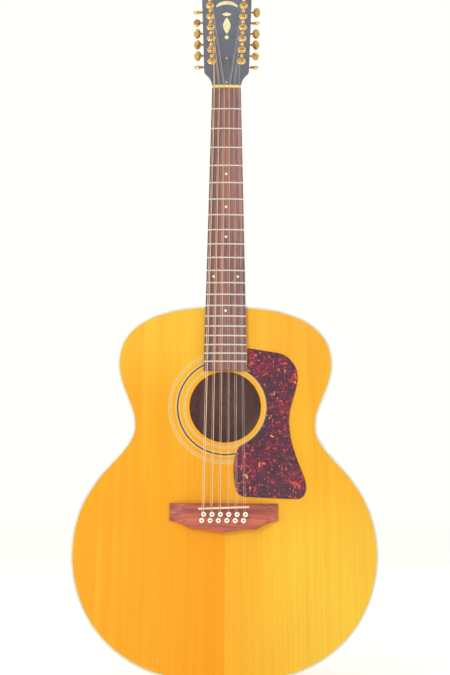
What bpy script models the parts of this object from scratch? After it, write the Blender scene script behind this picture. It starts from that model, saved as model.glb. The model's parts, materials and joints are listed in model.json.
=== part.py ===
"""Twelve-string jumbo acoustic guitar, standing upright: front towards -Y, neck up +Z, bass side -X.

The origin is on the centreline where the strings leave the nut, on the plane of the soundboard.
"""
import math

import bmesh
import bpy
from mathutils import Matrix, Vector

MM = 0.001
GAP = 0.3 * MM                      # left between pieces that touch

# Scale and neck
SCALE_LENGTH = 651 * MM
BODY_FRET = 14                      # the body begins at this fret
FRET_COUNT = 20
FRETBOARD_PAST_FRETS = 13.55 * MM
NUT_HALF = 23.1 * MM
FRETBOARD_END_HALF = 31.75 * MM
FRETBOARD_THICK = 6.5 * MM          # at its crown
FRETBOARD_RADIUS = 304.8 * MM
FRET_HEIGHT = 1.0 * MM
FRET_WIDTH = 2.4 * MM
NUT_LENGTH = 5.0 * MM
NECK_DEPTH_AT_NUT = 14.5 * MM
NECK_DEPTH_AT_HEEL = 17.5 * MM
HEEL_START = 78 * MM                # above the body
HEEL_CAP_HALF = 15 * MM

# Body
BODY_LENGTH = 527 * MM
UPPER_BOUT_HALF = 158.4 * MM
WAIST_HALF = 132.2 * MM
LOWER_BOUT_HALF = 214.4 * MM
UPPER_BOUT_AT = 85.2 * MM           # these three are measured down from the top of the body
WAIST_AT = 180.3 * MM
LOWER_BOUT_AT = 356.2 * MM
FLANK_SLOPE = math.radians(37.2)    # of the hip between waist and lower bout, from the vertical
SHOULDER_FLAT_HALF = 30 * MM
DEPTH_AT_NECK = 98 * MM
DEPTH_AT_TAIL = 120 * MM
BACK_ARCH = 13 * MM
TOP_THICK = 3.0 * MM
BACK_THICK = 3.0 * MM
SIDE_THICK = 2.4 * MM
BINDING_WIDTH = 2.2 * MM
BINDING_HEIGHT = 6.0 * MM
LINING_WIDTH = 6.0 * MM
LINING_HEIGHT = 14.0 * MM
NECK_BLOCK_HALF = 38 * MM
NECK_BLOCK_THICK = 55 * MM
TAIL_BLOCK_HALF = 36 * MM
TAIL_BLOCK_THICK = 24 * MM
SOUND_HOLE_RADIUS = 52 * MM
SOUND_HOLE_PAST_BOARD = 0.5 * MM     # from the fretboard's end to the hole's edge
PICKGUARD_THICK = 1.1 * MM
PICKGUARD_PAST_HOLE = 8.4 * MM
PICKGUARD_TO_BRIDGE = 6.2 * MM

# Bridge, saddle and strings
BRIDGE_PAST_SADDLE = 6.2 * MM        # its straight edge lies this far towards the neck
BRIDGE_HALF = 76 * MM
BRIDGE_HEIGHT = 9.0 * MM
BRIDGE_WING_HEIGHT = 4.0 * MM
BRIDGE_END = 24 * MM                # its length along the strings at the ends, the shoulders, the middle
BRIDGE_SHOULDER = 35 * MM
BRIDGE_BELLY = 39.2 * MM
BRIDGE_WING_FROM = 0.6              # share of the half width where the wings begin
SADDLE_PAST_STRINGS = 6.55 * MM
SADDLE_THICK = 2.8 * MM
SADDLE_SETBACK = 4.7 * MM            # behind the scale length, for intonation
SADDLE_SLANT = 2.6 * MM             # bass end lower by this much
SADDLE_CROWN = 12.6 * MM            # above the soundboard
SLOT_CLEARANCE = 0.3 * MM
SADDLE_SLOT_DEPTH = 4.5 * MM
PIN_HOLE_RADIUS = 2.9 * MM
PINS_PAST_SADDLE = 8.8 * MM
PIN_ROW_PITCH = 8.3 * MM
PIN_STAGGER = 2.7 * MM
COURSE_COUNT = 6
NUT_SPREAD = 39.8 * MM              # between the outer courses
SADDLE_SPREAD = 58.1 * MM
BRIDGE_SHIFT = -1.5 * MM            # bridge, saddle and pins sit to the bass side
PAIR_AT_NUT = 1.9 * MM
PAIR_AT_SADDLE = 2.5 * MM
STRING_OVER_FIRST_FRET = 0.5 * MM
INCH = 25.4 * MM
STRING_GAUGES = [(0.027, 0.047), (0.018, 0.039), (0.012, 0.030),
                 (0.008, 0.023), (0.014, 0.014), (0.010, 0.010)]   # octave, main; inches

# Headstock and tuners
HEAD_TILT = math.radians(14)
HEAD_FACE_AT_NUT = 1.5 * MM         # the face's plane passes this far in front of the soundboard plane
HEAD_THICK = 15.5 * MM              # with its overlay
OVERLAY_THICK = 1.5 * MM
HEAD_PAST_POSTS = 16.7 * MM
HEAD_TOP_RISE = 10 * MM
HEAD_SHOULDER_AT = 40 * MM
HEAD_EDGE_AT_FIRST_POST = 11.7 * MM
HEAD_EDGE_AT_LAST_POST = 13.3 * MM
TUNERS_PER_SIDE = 6
FIRST_POST_AT = 62.8 * MM
POST_PITCH = 26.5 * MM
FIRST_POST_OUT = 24.3 * MM          # from the centreline
LAST_POST_OUT = 29.0 * MM
POST_RADIUS = 3.0 * MM
POST_WAIST_RADIUS = 2.5 * MM
POST_PROUD = 13.5 * MM
POST_CLEARANCE = 0.35 * MM
WAIST_FROM = 2.0 * MM
WAIST_TO = 9.5 * MM
GEAR_RADIUS = 5.2 * MM
GEAR_THICK = 3.2 * MM
WORM_RADIUS = 2.4 * MM
MESH_CLEARANCE = 0.4 * MM            # between gear and worm
GEAR_COVER = 2.5 * MM                # from the strip's front to the worm
SHAFT_RADIUS = 1.6 * MM
SHAFT_CLEARANCE = 0.25 * MM
PLATE_THICK = 1.2 * MM
PLATE_HALF = 5.0 * MM
HOUSING_WALL = 1.1 * MM
HOUSING_ROOM = 1.1 * MM              # between a gear or worm and the housing's wall
HOUSING_SPARE = 2.1 * MM             # behind the worm
TOP_TRIM = 0.2 * MM                  # off the housing's end beside the worm
BUTTON_PAST_HOUSING = 15.8 * MM      # to the button's centre
BUTTON_HALF_LENGTH = 5.6 * MM
BUTTON_HALF_WIDTH = 8.7 * MM
BUTTON_HALF_THICK = 2.8 * MM
FACING, EDGE_ON, BETWEEN = 50, 140, 5     # degrees a button is turned about its shaft
BASS_TURNS = [EDGE_ON, FACING, 64, FACING, BETWEEN, EDGE_ON]       # from the nut up
TREBLE_TURNS = [EDGE_ON, 92, 62, FACING, EDGE_ON, FACING]
WRAP_TURNS = 1.25
WRAP_HEIGHTS = [5.2 * MM, 7.7 * MM]       # nearer and farther post of a pair
COVER_FROM = 8.5 * MM
COVER_TO = 73 * MM
COVER_THICK = 1.6 * MM
END_PIN_RADIUS = 7.5 * MM
END_PIN_SHANK = 3.6 * MM
END_PIN_PROUD = 14 * MM



def fret_at(fret):
    """Distance of a fret below the nut."""
    return SCALE_LENGTH * (1 - 2 ** (-fret / 12))


# Worked out from the sizes above; distances "at" are below the nut
BODY_TOP = fret_at(BODY_FRET)
FRETBOARD_LENGTH = fret_at(FRET_COUNT) + FRETBOARD_PAST_FRETS
SOUND_HOLE_AT = FRETBOARD_LENGTH + SOUND_HOLE_PAST_BOARD + SOUND_HOLE_RADIUS
SADDLE_AT = SCALE_LENGTH + SADDLE_SETBACK
SADDLE_HALF = SADDLE_SPREAD / 2 + SADDLE_PAST_STRINGS
BRIDGE_TOP_AT = SADDLE_AT - BRIDGE_PAST_SADDLE
UPPER_PINS_AT = SADDLE_AT + PINS_PAST_SADDLE
LOWER_PINS_AT = UPPER_PINS_AT + PIN_ROW_PITCH
STRING_AT_NUT = FRETBOARD_THICK + FRET_HEIGHT + STRING_OVER_FIRST_FRET
HEAD_CORNER_AT = FIRST_POST_AT + POST_PITCH * (TUNERS_PER_SIDE - 1) + HEAD_PAST_POSTS
HEAD_LENGTH = HEAD_CORNER_AT + HEAD_TOP_RISE
HEAD_SHOULDER_HALF = FIRST_POST_OUT + HEAD_EDGE_AT_FIRST_POST
HEAD_TOP_HALF = LAST_POST_OUT + HEAD_EDGE_AT_LAST_POST
WORM_OFFSET = GEAR_RADIUS + WORM_RADIUS + MESH_CLEARANCE        # from the post's axis, away from the nut
GEAR_DEPTH = GEAR_COVER + WORM_RADIUS                           # of the gear's middle behind the strip's front
HOUSING_DEPTH = GEAR_DEPTH + WORM_RADIUS + HOUSING_SPARE + HOUSING_WALL
HOUSING_HALF = GEAR_RADIUS + HOUSING_ROOM + HOUSING_WALL
HOUSING_BELOW_POST = HOUSING_HALF
HOUSING_ABOVE_POST = WORM_OFFSET + WORM_RADIUS + HOUSING_ROOM + HOUSING_WALL - TOP_TRIM
BUTTON_CENTRE = HOUSING_HALF + BUTTON_PAST_HOUSING              # from the post's axis
GEAR_OUT = -HEAD_THICK - GAP - GEAR_DEPTH                       # in front of the headstock's face

for old in list(bpy.data.objects):
    bpy.data.objects.remove(old, do_unlink=True)


# ---- materials and objects ----

def material(name, colour, roughness, metallic=0.0):
    mat = bpy.data.materials.new(name)
    mat.use_nodes = True
    shader = mat.node_tree.nodes["Principled BSDF"]
    shader.inputs["Base Color"].default_value = (*colour, 1)
    shader.inputs["Roughness"].default_value = roughness
    shader.inputs["Metallic"].default_value = metallic
    mat.diffuse_color = (*colour, 1)
    return mat


def add_mesh(name, bm, mat=None, smooth_angle=None):
    """Turn a bmesh into an object whose faces point outwards."""
    bmesh.ops.recalc_face_normals(bm, faces=bm.faces)
    mesh = bpy.data.meshes.new(name)
    bm.to_mesh(mesh)
    bm.free()
    if smooth_angle:
        mesh.shade_smooth()
        mesh.set_sharp_from_angle(angle=math.radians(smooth_angle))
    obj = bpy.data.objects.new(name, mesh)
    if mat:
        mesh.materials.append(mat)
    bpy.context.collection.objects.link(obj)
    return obj


def hide_cutter(obj):
    obj.hide_render = True
    obj.display_type = "WIRE"
    return obj


def cut(obj, cutter, operation="DIFFERENCE"):
    mod = obj.modifiers.new("cut", "BOOLEAN")
    mod.operation = operation
    mod.solver = "EXACT"
    mod.object = hide_cutter(cutter)


# ---- solids ----

def skin(bm, sections, closed=False):
    """Join sections of equal point count with quads; cap the ends unless the row closes on itself."""
    rings = [[bm.verts.new(p) for p in section] for section in sections]
    count = len(rings[0])
    last = len(rings) if closed else len(rings) - 1
    for i in range(last):
        a, b = rings[i], rings[(i + 1) % len(rings)]
        for j in range(count):
            k = (j + 1) % count
            bm.faces.new((a[j], a[k], b[k], b[j]))
    if not closed:
        bm.faces.new(rings[0])
        bm.faces.new(rings[-1])
    return bm


def slab(outline, y_front, y_back):
    """A closed outline of (x, z) points between two y values, or two functions of z."""
    front = y_front if callable(y_front) else lambda z: y_front
    back = y_back if callable(y_back) else lambda z: y_back
    bm = bmesh.new()
    return skin(bm, [[(x, front(z), z) for x, z in outline], [(x, back(z), z) for x, z in outline]])


def band(outer, inner, y_front, y_back, closed):
    """A strip of wall between two matching rows of (x, z) points."""
    front = y_front if callable(y_front) else lambda z: y_front
    back = y_back if callable(y_back) else lambda z: y_back
    sections = []
    for (xo, zo), (xi, zi) in zip(outer, inner):
        sections.append([(xo, front(zo), zo), (xi, front(zi), zi), (xi, back(zi), zi), (xo, back(zo), zo)])
    return skin(bmesh.new(), sections, closed)


def add_box(bm, low, high, turn=None):
    centre = [(a + b) / 2 for a, b in zip(low, high)]
    size = [b - a for a, b in zip(low, high)]
    matrix = Matrix.Translation(centre) @ Matrix.Diagonal((*size, 1))
    if turn:
        matrix = turn @ matrix
    bmesh.ops.create_cube(bm, size=1, matrix=matrix)


def add_cylinder(bm, start, end, radius, sides, end_radius=None):
    start, end = Vector(start), Vector(end)
    axis = end - start
    matrix = Matrix.Translation((start + end) / 2) @ axis.to_track_quat("Z", "Y").to_matrix().to_4x4()
    bmesh.ops.create_cone(bm, cap_ends=True, segments=sides, radius1=radius,
                          radius2=radius if end_radius is None else end_radius,
                          depth=axis.length, matrix=matrix)


def add_turned(bm, profile, sides):
    """Turn a (radius, height) profile about Z; both ends are closed with flat caps."""
    rings = []
    for radius, height in profile:
        rings.append([(radius * math.cos(2 * math.pi * i / sides),
                       radius * math.sin(2 * math.pi * i / sides), height) for i in range(sides)])
    return skin(bm, rings)


def bezier(p0, p1, p2, p3, steps, first=True):
    points = []
    for i in range(0 if first else 1, steps + 1):
        t = i / steps
        u = 1 - t
        points.append(tuple(u ** 3 * a + 3 * u * u * t * b + 3 * u * t * t * c + t ** 3 * d
                            for a, b, c, d in zip(p0, p1, p2, p3)))
    return points


def mirror_half(half):
    """Close a half outline that runs from the centreline's top to its bottom on the +X side."""
    return half + [(-x, z) for x, z in reversed(half) if x > 1e-6]


def inset(points, distance, closed=True):
    """Move a clockwise-from-the-front row of (x, z) points towards the inside."""
    moved = []
    count = len(points)
    for i, (x, z) in enumerate(points):
        before = points[(i - 1) % count] if closed or i else points[i]
        after = points[(i + 1) % count] if closed or i < count - 1 else points[i]
        tangent = Vector((after[0] - before[0], after[1] - before[1])).normalized()
        moved.append((x + tangent.y * distance, z - tangent.x * distance))
    return moved


# ---- body ----

def half_outline():
    top, bottom = -BODY_TOP, -BODY_TOP - BODY_LENGTH
    upper = (UPPER_BOUT_HALF, top - UPPER_BOUT_AT)
    waist = (WAIST_HALF, top - WAIST_AT)
    lower = (LOWER_BOUT_HALF, top - LOWER_BOUT_AT)
    neck_to_waist = WAIST_AT - UPPER_BOUT_AT
    hip_drop = LOWER_BOUT_AT - WAIST_AT
    hip = (WAIST_HALF + 0.57 * (LOWER_BOUT_HALF - WAIST_HALF), waist[1] - 0.4 * hip_drop)
    lean = (math.sin(FLANK_SLOPE) * hip_drop, -math.cos(FLANK_SLOPE) * hip_drop)
    shoulder_reach = 0.175 * (UPPER_BOUT_HALF - SHOULDER_FLAT_HALF)
    points = [(0.0, top)]
    points += bezier((SHOULDER_FLAT_HALF, top), (SHOULDER_FLAT_HALF + shoulder_reach, top),
                     (upper[0], upper[1] + 0.933 * UPPER_BOUT_AT), upper, 10)
    points += bezier(upper, (upper[0], upper[1] - 0.403 * neck_to_waist),
                     (waist[0], waist[1] + 0.339 * neck_to_waist), waist, 6, first=False)
    points += bezier(waist, (waist[0], waist[1] - 0.143 * hip_drop),
                     (hip[0] - 0.16 * lean[0], hip[1] - 0.16 * lean[1]), hip, 5, first=False)
    points += bezier(hip, (hip[0] + 0.283 * lean[0], hip[1] + 0.283 * lean[1]),
                     (lower[0], lower[1] + 0.19 * hip_drop), lower, 5, first=False)
    points += bezier(lower, (lower[0], lower[1] - 0.26 * (BODY_LENGTH - LOWER_BOUT_AT)),
                     (0.874 * LOWER_BOUT_HALF, bottom), (0.0, bottom), 13, first=False)
    return points


def rim_depth(z):
    """Depth of the body's back edge at height z."""
    share = (-z - BODY_TOP) / BODY_LENGTH
    return DEPTH_AT_NECK + (DEPTH_AT_TAIL - DEPTH_AT_NECK) * share


HALF = half_outline()
OUTLINE = mirror_half(HALF)


def rim_z(x, distance, tail):
    """Height at x of the outline drawn in by a distance, at the tail's end or the neck's end."""
    row = inset(OUTLINE, distance)[:len(HALF)]
    row = row[::-1] if tail else row
    for (xa, za), (xb, zb) in zip(row, row[1:]):
        if xa <= abs(x) < xb:
            return za + (zb - za) * (abs(x) - xa) / (xb - xa)
    return row[0][1]


BODY_BOTTOM = -BODY_TOP - BODY_LENGTH
END_PIN_Y = rim_depth(BODY_BOTTOM) / 2

spruce = material("spruce", (0.95, 0.48, 0.09), 0.25)
maple = material("maple", (0.80, 0.42, 0.10), 0.28)
cream = material("cream", (0.80, 0.76, 0.60), 0.35)
mahogany = material("mahogany", (0.30, 0.11, 0.05), 0.4)
pale_wood = material("pale_wood", (0.72, 0.55, 0.33), 0.6)
rosewood = material("rosewood", (0.20, 0.07, 0.05), 0.45)
black = material("black", (0.02, 0.02, 0.025), 0.2)
tortoiseshell = material("tortoiseshell", (0.10, 0.03, 0.04), 0.2)
bone = material("bone", (0.88, 0.80, 0.58), 0.4)
gold = material("gold", (0.95, 0.65, 0.25), 0.25, 1.0)
steel = material("steel", (0.75, 0.74, 0.72), 0.3, 1.0)
bronze = material("bronze", (0.72, 0.48, 0.24), 0.35, 1.0)


def string_row():
    """Every string: its name, radius and where it crosses the nut and the saddle."""
    rows = []
    for course in range(COURSE_COUNT):
        share = course / (COURSE_COUNT - 1) - 0.5
        at_nut = share * NUT_SPREAD
        at_saddle = share * SADDLE_SPREAD + BRIDGE_SHIFT
        for member, side in enumerate((-1, 1)):
            gauge = STRING_GAUGES[course][member] * INCH
            rows.append({
                "name": f"string_{course + 1}_{'octave' if member == 0 else 'main'}",
                "course": course, "member": member, "radius": gauge / 2,
                "nut_x": at_nut + side * PAIR_AT_NUT / 2,
                "saddle_x": at_saddle + side * PAIR_AT_SADDLE / 2,
                "pin_x": at_saddle + side * PIN_STAGGER / 2,
                "pin_z": -(LOWER_PINS_AT if member == 0 else UPPER_PINS_AT)})
    return rows


STRINGS = string_row()


def crown_drop(x):
    """How much lower the arched playing surface is at x than on the centreline."""
    return FRETBOARD_RADIUS - math.sqrt(FRETBOARD_RADIUS ** 2 - x * x)


def pin_holes(name, sides, y_from, y_to):
    bm = bmesh.new()
    for row in STRINGS:
        add_cylinder(bm, (row["pin_x"], y_from, row["pin_z"]), (row["pin_x"], y_to, row["pin_z"]),
                     PIN_HOLE_RADIUS, sides)
    return add_mesh(name, bm)


def build_soundboard():
    board = add_mesh("soundboard", slab(inset(OUTLINE, BINDING_WIDTH + GAP), 0.0, TOP_THICK), spruce)
    bm = bmesh.new()
    add_cylinder(bm, (0, -TOP_THICK, -SOUND_HOLE_AT), (0, 2 * TOP_THICK, -SOUND_HOLE_AT),
                 SOUND_HOLE_RADIUS, 40)
    cut(board, add_mesh("sound_hole_cutter", bm))
    cut(board, pin_holes("soundboard_pin_cutter", 8, -TOP_THICK, 2 * TOP_THICK))


def build_back():
    """An arched plate: rings of the outline drawn in towards the middle, outside and inside."""
    rim = inset(OUTLINE, BINDING_WIDTH + GAP)
    centre_z = -BODY_TOP - 0.46 * BODY_LENGTH
    shares = [1.0, 0.84, 0.6, 0.3]

    def ring(share, lift):
        points = []
        for x, z in rim:
            px, pz = x * share, centre_z + (z - centre_z) * share
            points.append((px, rim_depth(pz) + BACK_ARCH * (1 - share ** 2) + lift, pz))
        return points

    outside = [ring(s, 0.0) for s in reversed(shares)]
    inside = [ring(s, -BACK_THICK) for s in shares]
    add_mesh("back", skin(bmesh.new(), outside + inside), maple, 30)


def build_rims():
    front_edge = BINDING_HEIGHT + GAP
    wall_in = inset(OUTLINE, SIDE_THICK)
    half_count = len(HALF)
    for name, sign in (("side_treble", 1), ("side_bass", -1)):
        outer = [(max(x, GAP / 2), z) for x, z in HALF]
        inner = [(max(x, GAP / 2), z) for x, z in wall_in[:half_count]]
        outer = [(sign * x, z) for x, z in outer]
        inner = [(sign * x, z) for x, z in inner]
        side = add_mesh(name, band(outer, inner, front_edge,
                                   lambda z: rim_depth(z) - BINDING_HEIGHT - GAP, False), maple, 30)
        cut(side, end_pin_bore(name))
    rim_in = inset(OUTLINE, BINDING_WIDTH)
    add_mesh("binding_front", band(OUTLINE, rim_in, 0.0, BINDING_HEIGHT, True), cream, 30)
    add_mesh("binding_back", band(OUTLINE, rim_in, lambda z: rim_depth(z) - BINDING_HEIGHT,
                                  rim_depth, True), cream, 30)


def end_pin_bore(name):
    bm = bmesh.new()
    add_cylinder(bm, (0, END_PIN_Y, BODY_BOTTOM - 5 * MM),
                 (0, END_PIN_Y, BODY_BOTTOM + 2 * TAIL_BLOCK_THICK), END_PIN_SHANK + GAP, 12)
    return add_mesh(name + "_pin_cutter", bm)


def build_linings():
    near = max(SIDE_THICK, BINDING_WIDTH) + GAP
    outer = inset(OUTLINE, near)[:len(HALF)]
    inner = inset(OUTLINE, near + LINING_WIDTH)[:len(HALF)]
    neck_limit, tail_limit = NECK_BLOCK_HALF + 2 * MM, TAIL_BLOCK_HALF + 2 * MM
    middle_z = -BODY_TOP - WAIST_AT
    kept = [i for i, (x, z) in enumerate(inner)
            if x > (neck_limit if z > middle_z else tail_limit)]
    back_near = BACK_THICK + GAP
    for side_name, sign in (("treble", 1), ("bass", -1)):
        out_row = [(sign * outer[i][0], outer[i][1]) for i in kept]
        in_row = [(sign * inner[i][0], inner[i][1]) for i in kept]
        add_mesh("lining_front_" + side_name,
                 band(out_row, in_row, TOP_THICK + GAP, TOP_THICK + GAP + LINING_HEIGHT, False),
                 pale_wood)
        add_mesh("lining_back_" + side_name,
                 band(out_row, in_row, lambda z: rim_depth(z) - back_near - LINING_HEIGHT,
                      lambda z: rim_depth(z) - back_near, False), pale_wood)


def build_blocks():
    """Blocks whose ends follow the rim, one under the heel and one at the tail."""
    clear = SIDE_THICK + 2 * GAP
    for name, half, thick, tail in (("neck_block", NECK_BLOCK_HALF, NECK_BLOCK_THICK, False),
                                    ("tail_block", TAIL_BLOCK_HALF, TAIL_BLOCK_THICK, True)):
        rim = [(half * share, rim_z(half * share, clear, tail)) for share in (-1, -0.6, -0.2, 0.2, 0.6, 1)]
        far = rim_z(0, clear, tail) + (thick if tail else -thick)
        outline = rim + [(half, far), (-half, far)]
        block = add_mesh(name, slab(outline, TOP_THICK + GAP,
                                    lambda z: rim_depth(z) - BACK_THICK - GAP), mahogany)
        if tail:
            cut(block, end_pin_bore(name))


def brace_bar(bm, start, end, width, height):
    """A bar along the underside of the soundboard between two (x, distance below the nut) points."""
    start, end = Vector((start[0], 0, -start[1])), Vector((end[0], 0, -end[1]))
    run = end - start
    across = Vector((-run.z, 0, run.x)).normalized() * width / 2
    y_front, y_back = TOP_THICK + GAP, TOP_THICK + GAP + height
    low, tip = Vector((0, y_front, 0)), Vector((0, y_back, 0))
    taper = run.normalized() * height
    skin(bm, [[start - across + low, start + across + low, end + across + low, end - across + low],
              [start - across + tip + taper, start + across + tip + taper,
               end + across + tip - taper, end - across + tip - taper]])


def build_braces():
    """X brace, upper brace, two tone bars and the bridge plate, glued into one frame."""
    cross_at = SOUND_HOLE_AT + 1.68 * SOUND_HOLE_RADIUS
    slope = 0.87                     # sideways run of an X leg for each unit of length
    room = BODY_TOP + BODY_LENGTH - cross_at
    x_top = cross_at - (UPPER_BOUT_HALF - 30.8 * MM) / slope
    x_bottom = cross_at + 0.55 * room
    across = UPPER_BOUT_HALF - 24.4 * MM

    def leg_x(at):
        return (at - cross_at) * slope

    bars = [((leg_x(x_top), x_top), (leg_x(x_bottom), x_bottom), 8 * MM, 14 * MM),
            ((-leg_x(x_top), x_top), (-leg_x(x_bottom), x_bottom), 8 * MM, 13 * MM),
            ((-across, x_top - 5 * MM), (across, x_top - 5 * MM), 12 * MM, 12 * MM)]
    for start, drop in ((0.32, 0.38), (0.475, 0.335)):
        right = leg_x(cross_at + start * room)
        run = 0.81 * LOWER_BOUT_HALF
        bars.append(((right, cross_at + start * room), (right - run, cross_at + (start + drop) * room),
                     7 * MM, 11 * MM))
    braces = None
    for number, bar in enumerate(bars):
        bm = bmesh.new()
        brace_bar(bm, *bar)
        piece = add_mesh("top_braces" if number == 0 else f"brace_bar_{number}", bm,
                         pale_wood if number == 0 else None)
        if number == 0:
            braces = piece
        else:
            cut(braces, piece, "UNION")
    bm = bmesh.new()
    plate_at = (UPPER_PINS_AT + LOWER_PINS_AT) / 2
    plate_half = BRIDGE_HALF + 6 * MM
    add_box(bm, (-plate_half, TOP_THICK + GAP, -plate_at - 22 * MM),
            (plate_half, TOP_THICK + 3 * MM, -plate_at + 20 * MM))
    cut(braces, add_mesh("bridge_plate", bm), "UNION")
    cut(braces, pin_holes("brace_pin_cutter", 8, 0, 30 * MM))


def build_pickguard():
    """Teardrop plate with a lower horn, hugging the sound hole and the fretboard's edge."""
    ring = SOUND_HOLE_RADIUS + PICKGUARD_PAST_HOLE
    edge_x = FRETBOARD_END_HALF + 1.0 * MM
    hole_z = -SOUND_HOLE_AT
    drawn_reach = 131.8 * MM         # below the hole's centre, as the curves below are written
    stretch = (BRIDGE_TOP_AT - PICKGUARD_TO_BRIDGE - SOUND_HOLE_AT) / drawn_reach

    def at(x, down):
        return (x * MM, hole_z - down * MM * (stretch if down > 0 else 1))

    low_angle = math.radians(-70.1)
    high_angle = math.acos(edge_x / ring)
    points = [(edge_x, hole_z + 86.9 * MM)]
    points += bezier(at(78, -80.0), at(92, -78.0), at(106.1, -62), at(106.1, -45), 6)
    points += bezier(at(106.1, -45), at(106.1, -24), at(92, -3), at(92, 20), 5, first=False)
    points += bezier(at(92, 20), at(92, 52), at(103, 76), at(113.1, 102), 6, first=False)
    points += bezier(at(113.1, 102), at(118, 118), at(114, 131.8), at(101, 131.8), 6, first=False)
    points += bezier(at(28.8, 128.8), at(19, 128.4), at(15.4, 121), at(14.2, 112), 4)
    points += bezier(at(14.2, 112), at(10.8, 90), at(11, 72), (ring * math.cos(low_angle),
                     hole_z + ring * math.sin(low_angle)), 5, first=False)
    steps = 14
    for i in range(1, steps + 1):
        angle = low_angle + (high_angle - low_angle) * i / steps
        points.append((ring * math.cos(angle), hole_z + ring * math.sin(angle)))
    add_mesh("pickguard", slab(points, -GAP - PICKGUARD_THICK, -GAP), tortoiseshell)


def bridge_bottom(x):
    """How far below the bridge's straight top edge its lower edge is at x."""
    share = abs(x) / BRIDGE_HALF
    if share > BRIDGE_WING_FROM:
        return BRIDGE_END + (BRIDGE_SHOULDER - BRIDGE_END) * ((1 - share) / (1 - BRIDGE_WING_FROM)) ** 1.6
    bell = ((1 + math.cos(math.pi * share / BRIDGE_WING_FROM)) / 2) ** 1.4
    return BRIDGE_SHOULDER + (BRIDGE_BELLY - BRIDGE_SHOULDER) * bell


def bridge_top(x):
    share = max(0.0, (abs(x) / BRIDGE_HALF - 0.64) / 0.36)
    blend = share * share * (3 - 2 * share)
    return BRIDGE_HEIGHT + (BRIDGE_WING_HEIGHT - BRIDGE_HEIGHT) * blend


def saddle_line(x):
    """Distance below the nut of the saddle's middle at x."""
    return SADDLE_AT - SADDLE_SLANT * x / (2 * SADDLE_HALF)


def saddle_block(clearance, low_y, top):
    """The slanted saddle, or its slot when clearance is above zero."""
    bm = bmesh.new()
    reach, half = SADDLE_HALF + clearance, SADDLE_THICK / 2 + clearance
    sections = []
    steps = 6
    for i in range(steps + 1):
        x = BRIDGE_SHIFT - reach + 2 * reach * i / steps
        z = -saddle_line(x)
        y_top = -top + (crown_drop(x) if clearance == 0 else 0)
        ease = 1.0 * MM if clearance == 0 else 0.0
        sections.append([(x, low_y, z - half), (x, y_top + ease, z - half),
                         (x, y_top, z - half + SADDLE_THICK * 0.4), (x, y_top, z + half - SADDLE_THICK * 0.2),
                         (x, y_top + ease / 2, z + half), (x, low_y, z + half)])
    return skin(bm, sections)


def build_bridge():
    half = [0.15, 0.3, 0.45, BRIDGE_WING_FROM, 0.7, 0.8, 0.9, 1]
    stations = [-s for s in reversed(half)] + [0] + half
    sections = []
    for share in stations:
        x = share * BRIDGE_HALF
        z_top = -BRIDGE_TOP_AT
        z_low = z_top - bridge_bottom(x)
        top = -bridge_top(x)
        x += BRIDGE_SHIFT
        sections.append([(x, -GAP, z_low), (x, top + 1 * MM, z_low), (x, top, z_low + 1.5 * MM),
                         (x, top, z_top - 1.5 * MM), (x, top + 1 * MM, z_top), (x, -GAP, z_top)])
    bridge = add_mesh("bridge", skin(bmesh.new(), sections), rosewood)
    slot_floor = -(BRIDGE_HEIGHT - SADDLE_SLOT_DEPTH)
    cut(bridge, add_mesh("saddle_slot_cutter", saddle_block(SLOT_CLEARANCE, slot_floor, 2 * BRIDGE_HEIGHT)))
    cut(bridge, pin_holes("bridge_pin_cutter", 10, -2 * BRIDGE_HEIGHT, BRIDGE_HEIGHT))
    add_mesh("saddle", saddle_block(0, slot_floor - GAP, SADDLE_CROWN - GAP), bone)


# ---- neck ----

def board_half(z):
    """Half width of the fretboard at height z."""
    return NUT_HALF + (FRETBOARD_END_HALF - NUT_HALF) * max(0.0, -z) / FRETBOARD_LENGTH


def arched_section(z, low, high, half, steps):
    """A section with a flat underside and a top that follows the fretboard's radius."""
    points = [(half, -low, z)]
    for i in range(steps + 1):
        x = half - 2 * half * i / steps
        points.append((x, -high + crown_drop(x), z))
    points.append((-half, -low, z))
    return points


def build_fretboard():
    sections = []
    for share in (0, 1):
        z = -GAP - (FRETBOARD_LENGTH - GAP) * share
        sections.append(arched_section(z, GAP, FRETBOARD_THICK, board_half(z), 4))
    board = add_mesh("fretboard", skin(bmesh.new(), sections), rosewood)
    bm = bmesh.new()
    sunk = 1.2 * MM
    for fret in range(1, FRET_COUNT + 1):
        z = -fret_at(fret)
        half = board_half(z) - 0.2 * MM
        rows = []
        for x_share in (-1, 0, 1):
            x = half * x_share
            y_top = -FRETBOARD_THICK - FRET_HEIGHT + crown_drop(x)
            rows.append([(x, y_top + FRET_HEIGHT + sunk, z - FRET_WIDTH / 2),
                         (x, y_top + 0.4 * MM, z - FRET_WIDTH / 2), (x, y_top, z),
                         (x, y_top + 0.4 * MM, z + FRET_WIDTH / 2),
                         (x, y_top + FRET_HEIGHT + sunk, z + FRET_WIDTH / 2)])
        skin(bm, rows)
    cut(board, add_mesh("fret_bars", bm), "UNION")


def build_nut():
    top = STRING_AT_NUT + 1.3 * MM
    half = NUT_HALF
    sections = [arched_section(z, GAP, top, half, 6) for z in (GAP, NUT_LENGTH + GAP)]
    nut = add_mesh("nut", skin(bmesh.new(), sections), bone)
    bm = bmesh.new()
    for row in STRINGS:
        half_slot = row["radius"] + 0.25 * MM
        floor = -STRING_AT_NUT + crown_drop(row["nut_x"]) + 0.3 * MM
        add_box(bm, (row["nut_x"] - half_slot, -top - 2 * MM, -2 * MM),
                (row["nut_x"] + half_slot, floor, NUT_LENGTH + 3 * MM))
    cut(nut, add_mesh("nut_slot_cutter", bm))


def head_point(x, along, out):
    """A point of the headstock: distance along it from the nut, and out in front of its face."""
    return Vector((x, -HEAD_FACE_AT_NUT + along * math.sin(HEAD_TILT) - out * math.cos(HEAD_TILT),
                   along * math.cos(HEAD_TILT) + out * math.sin(HEAD_TILT)))


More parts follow.
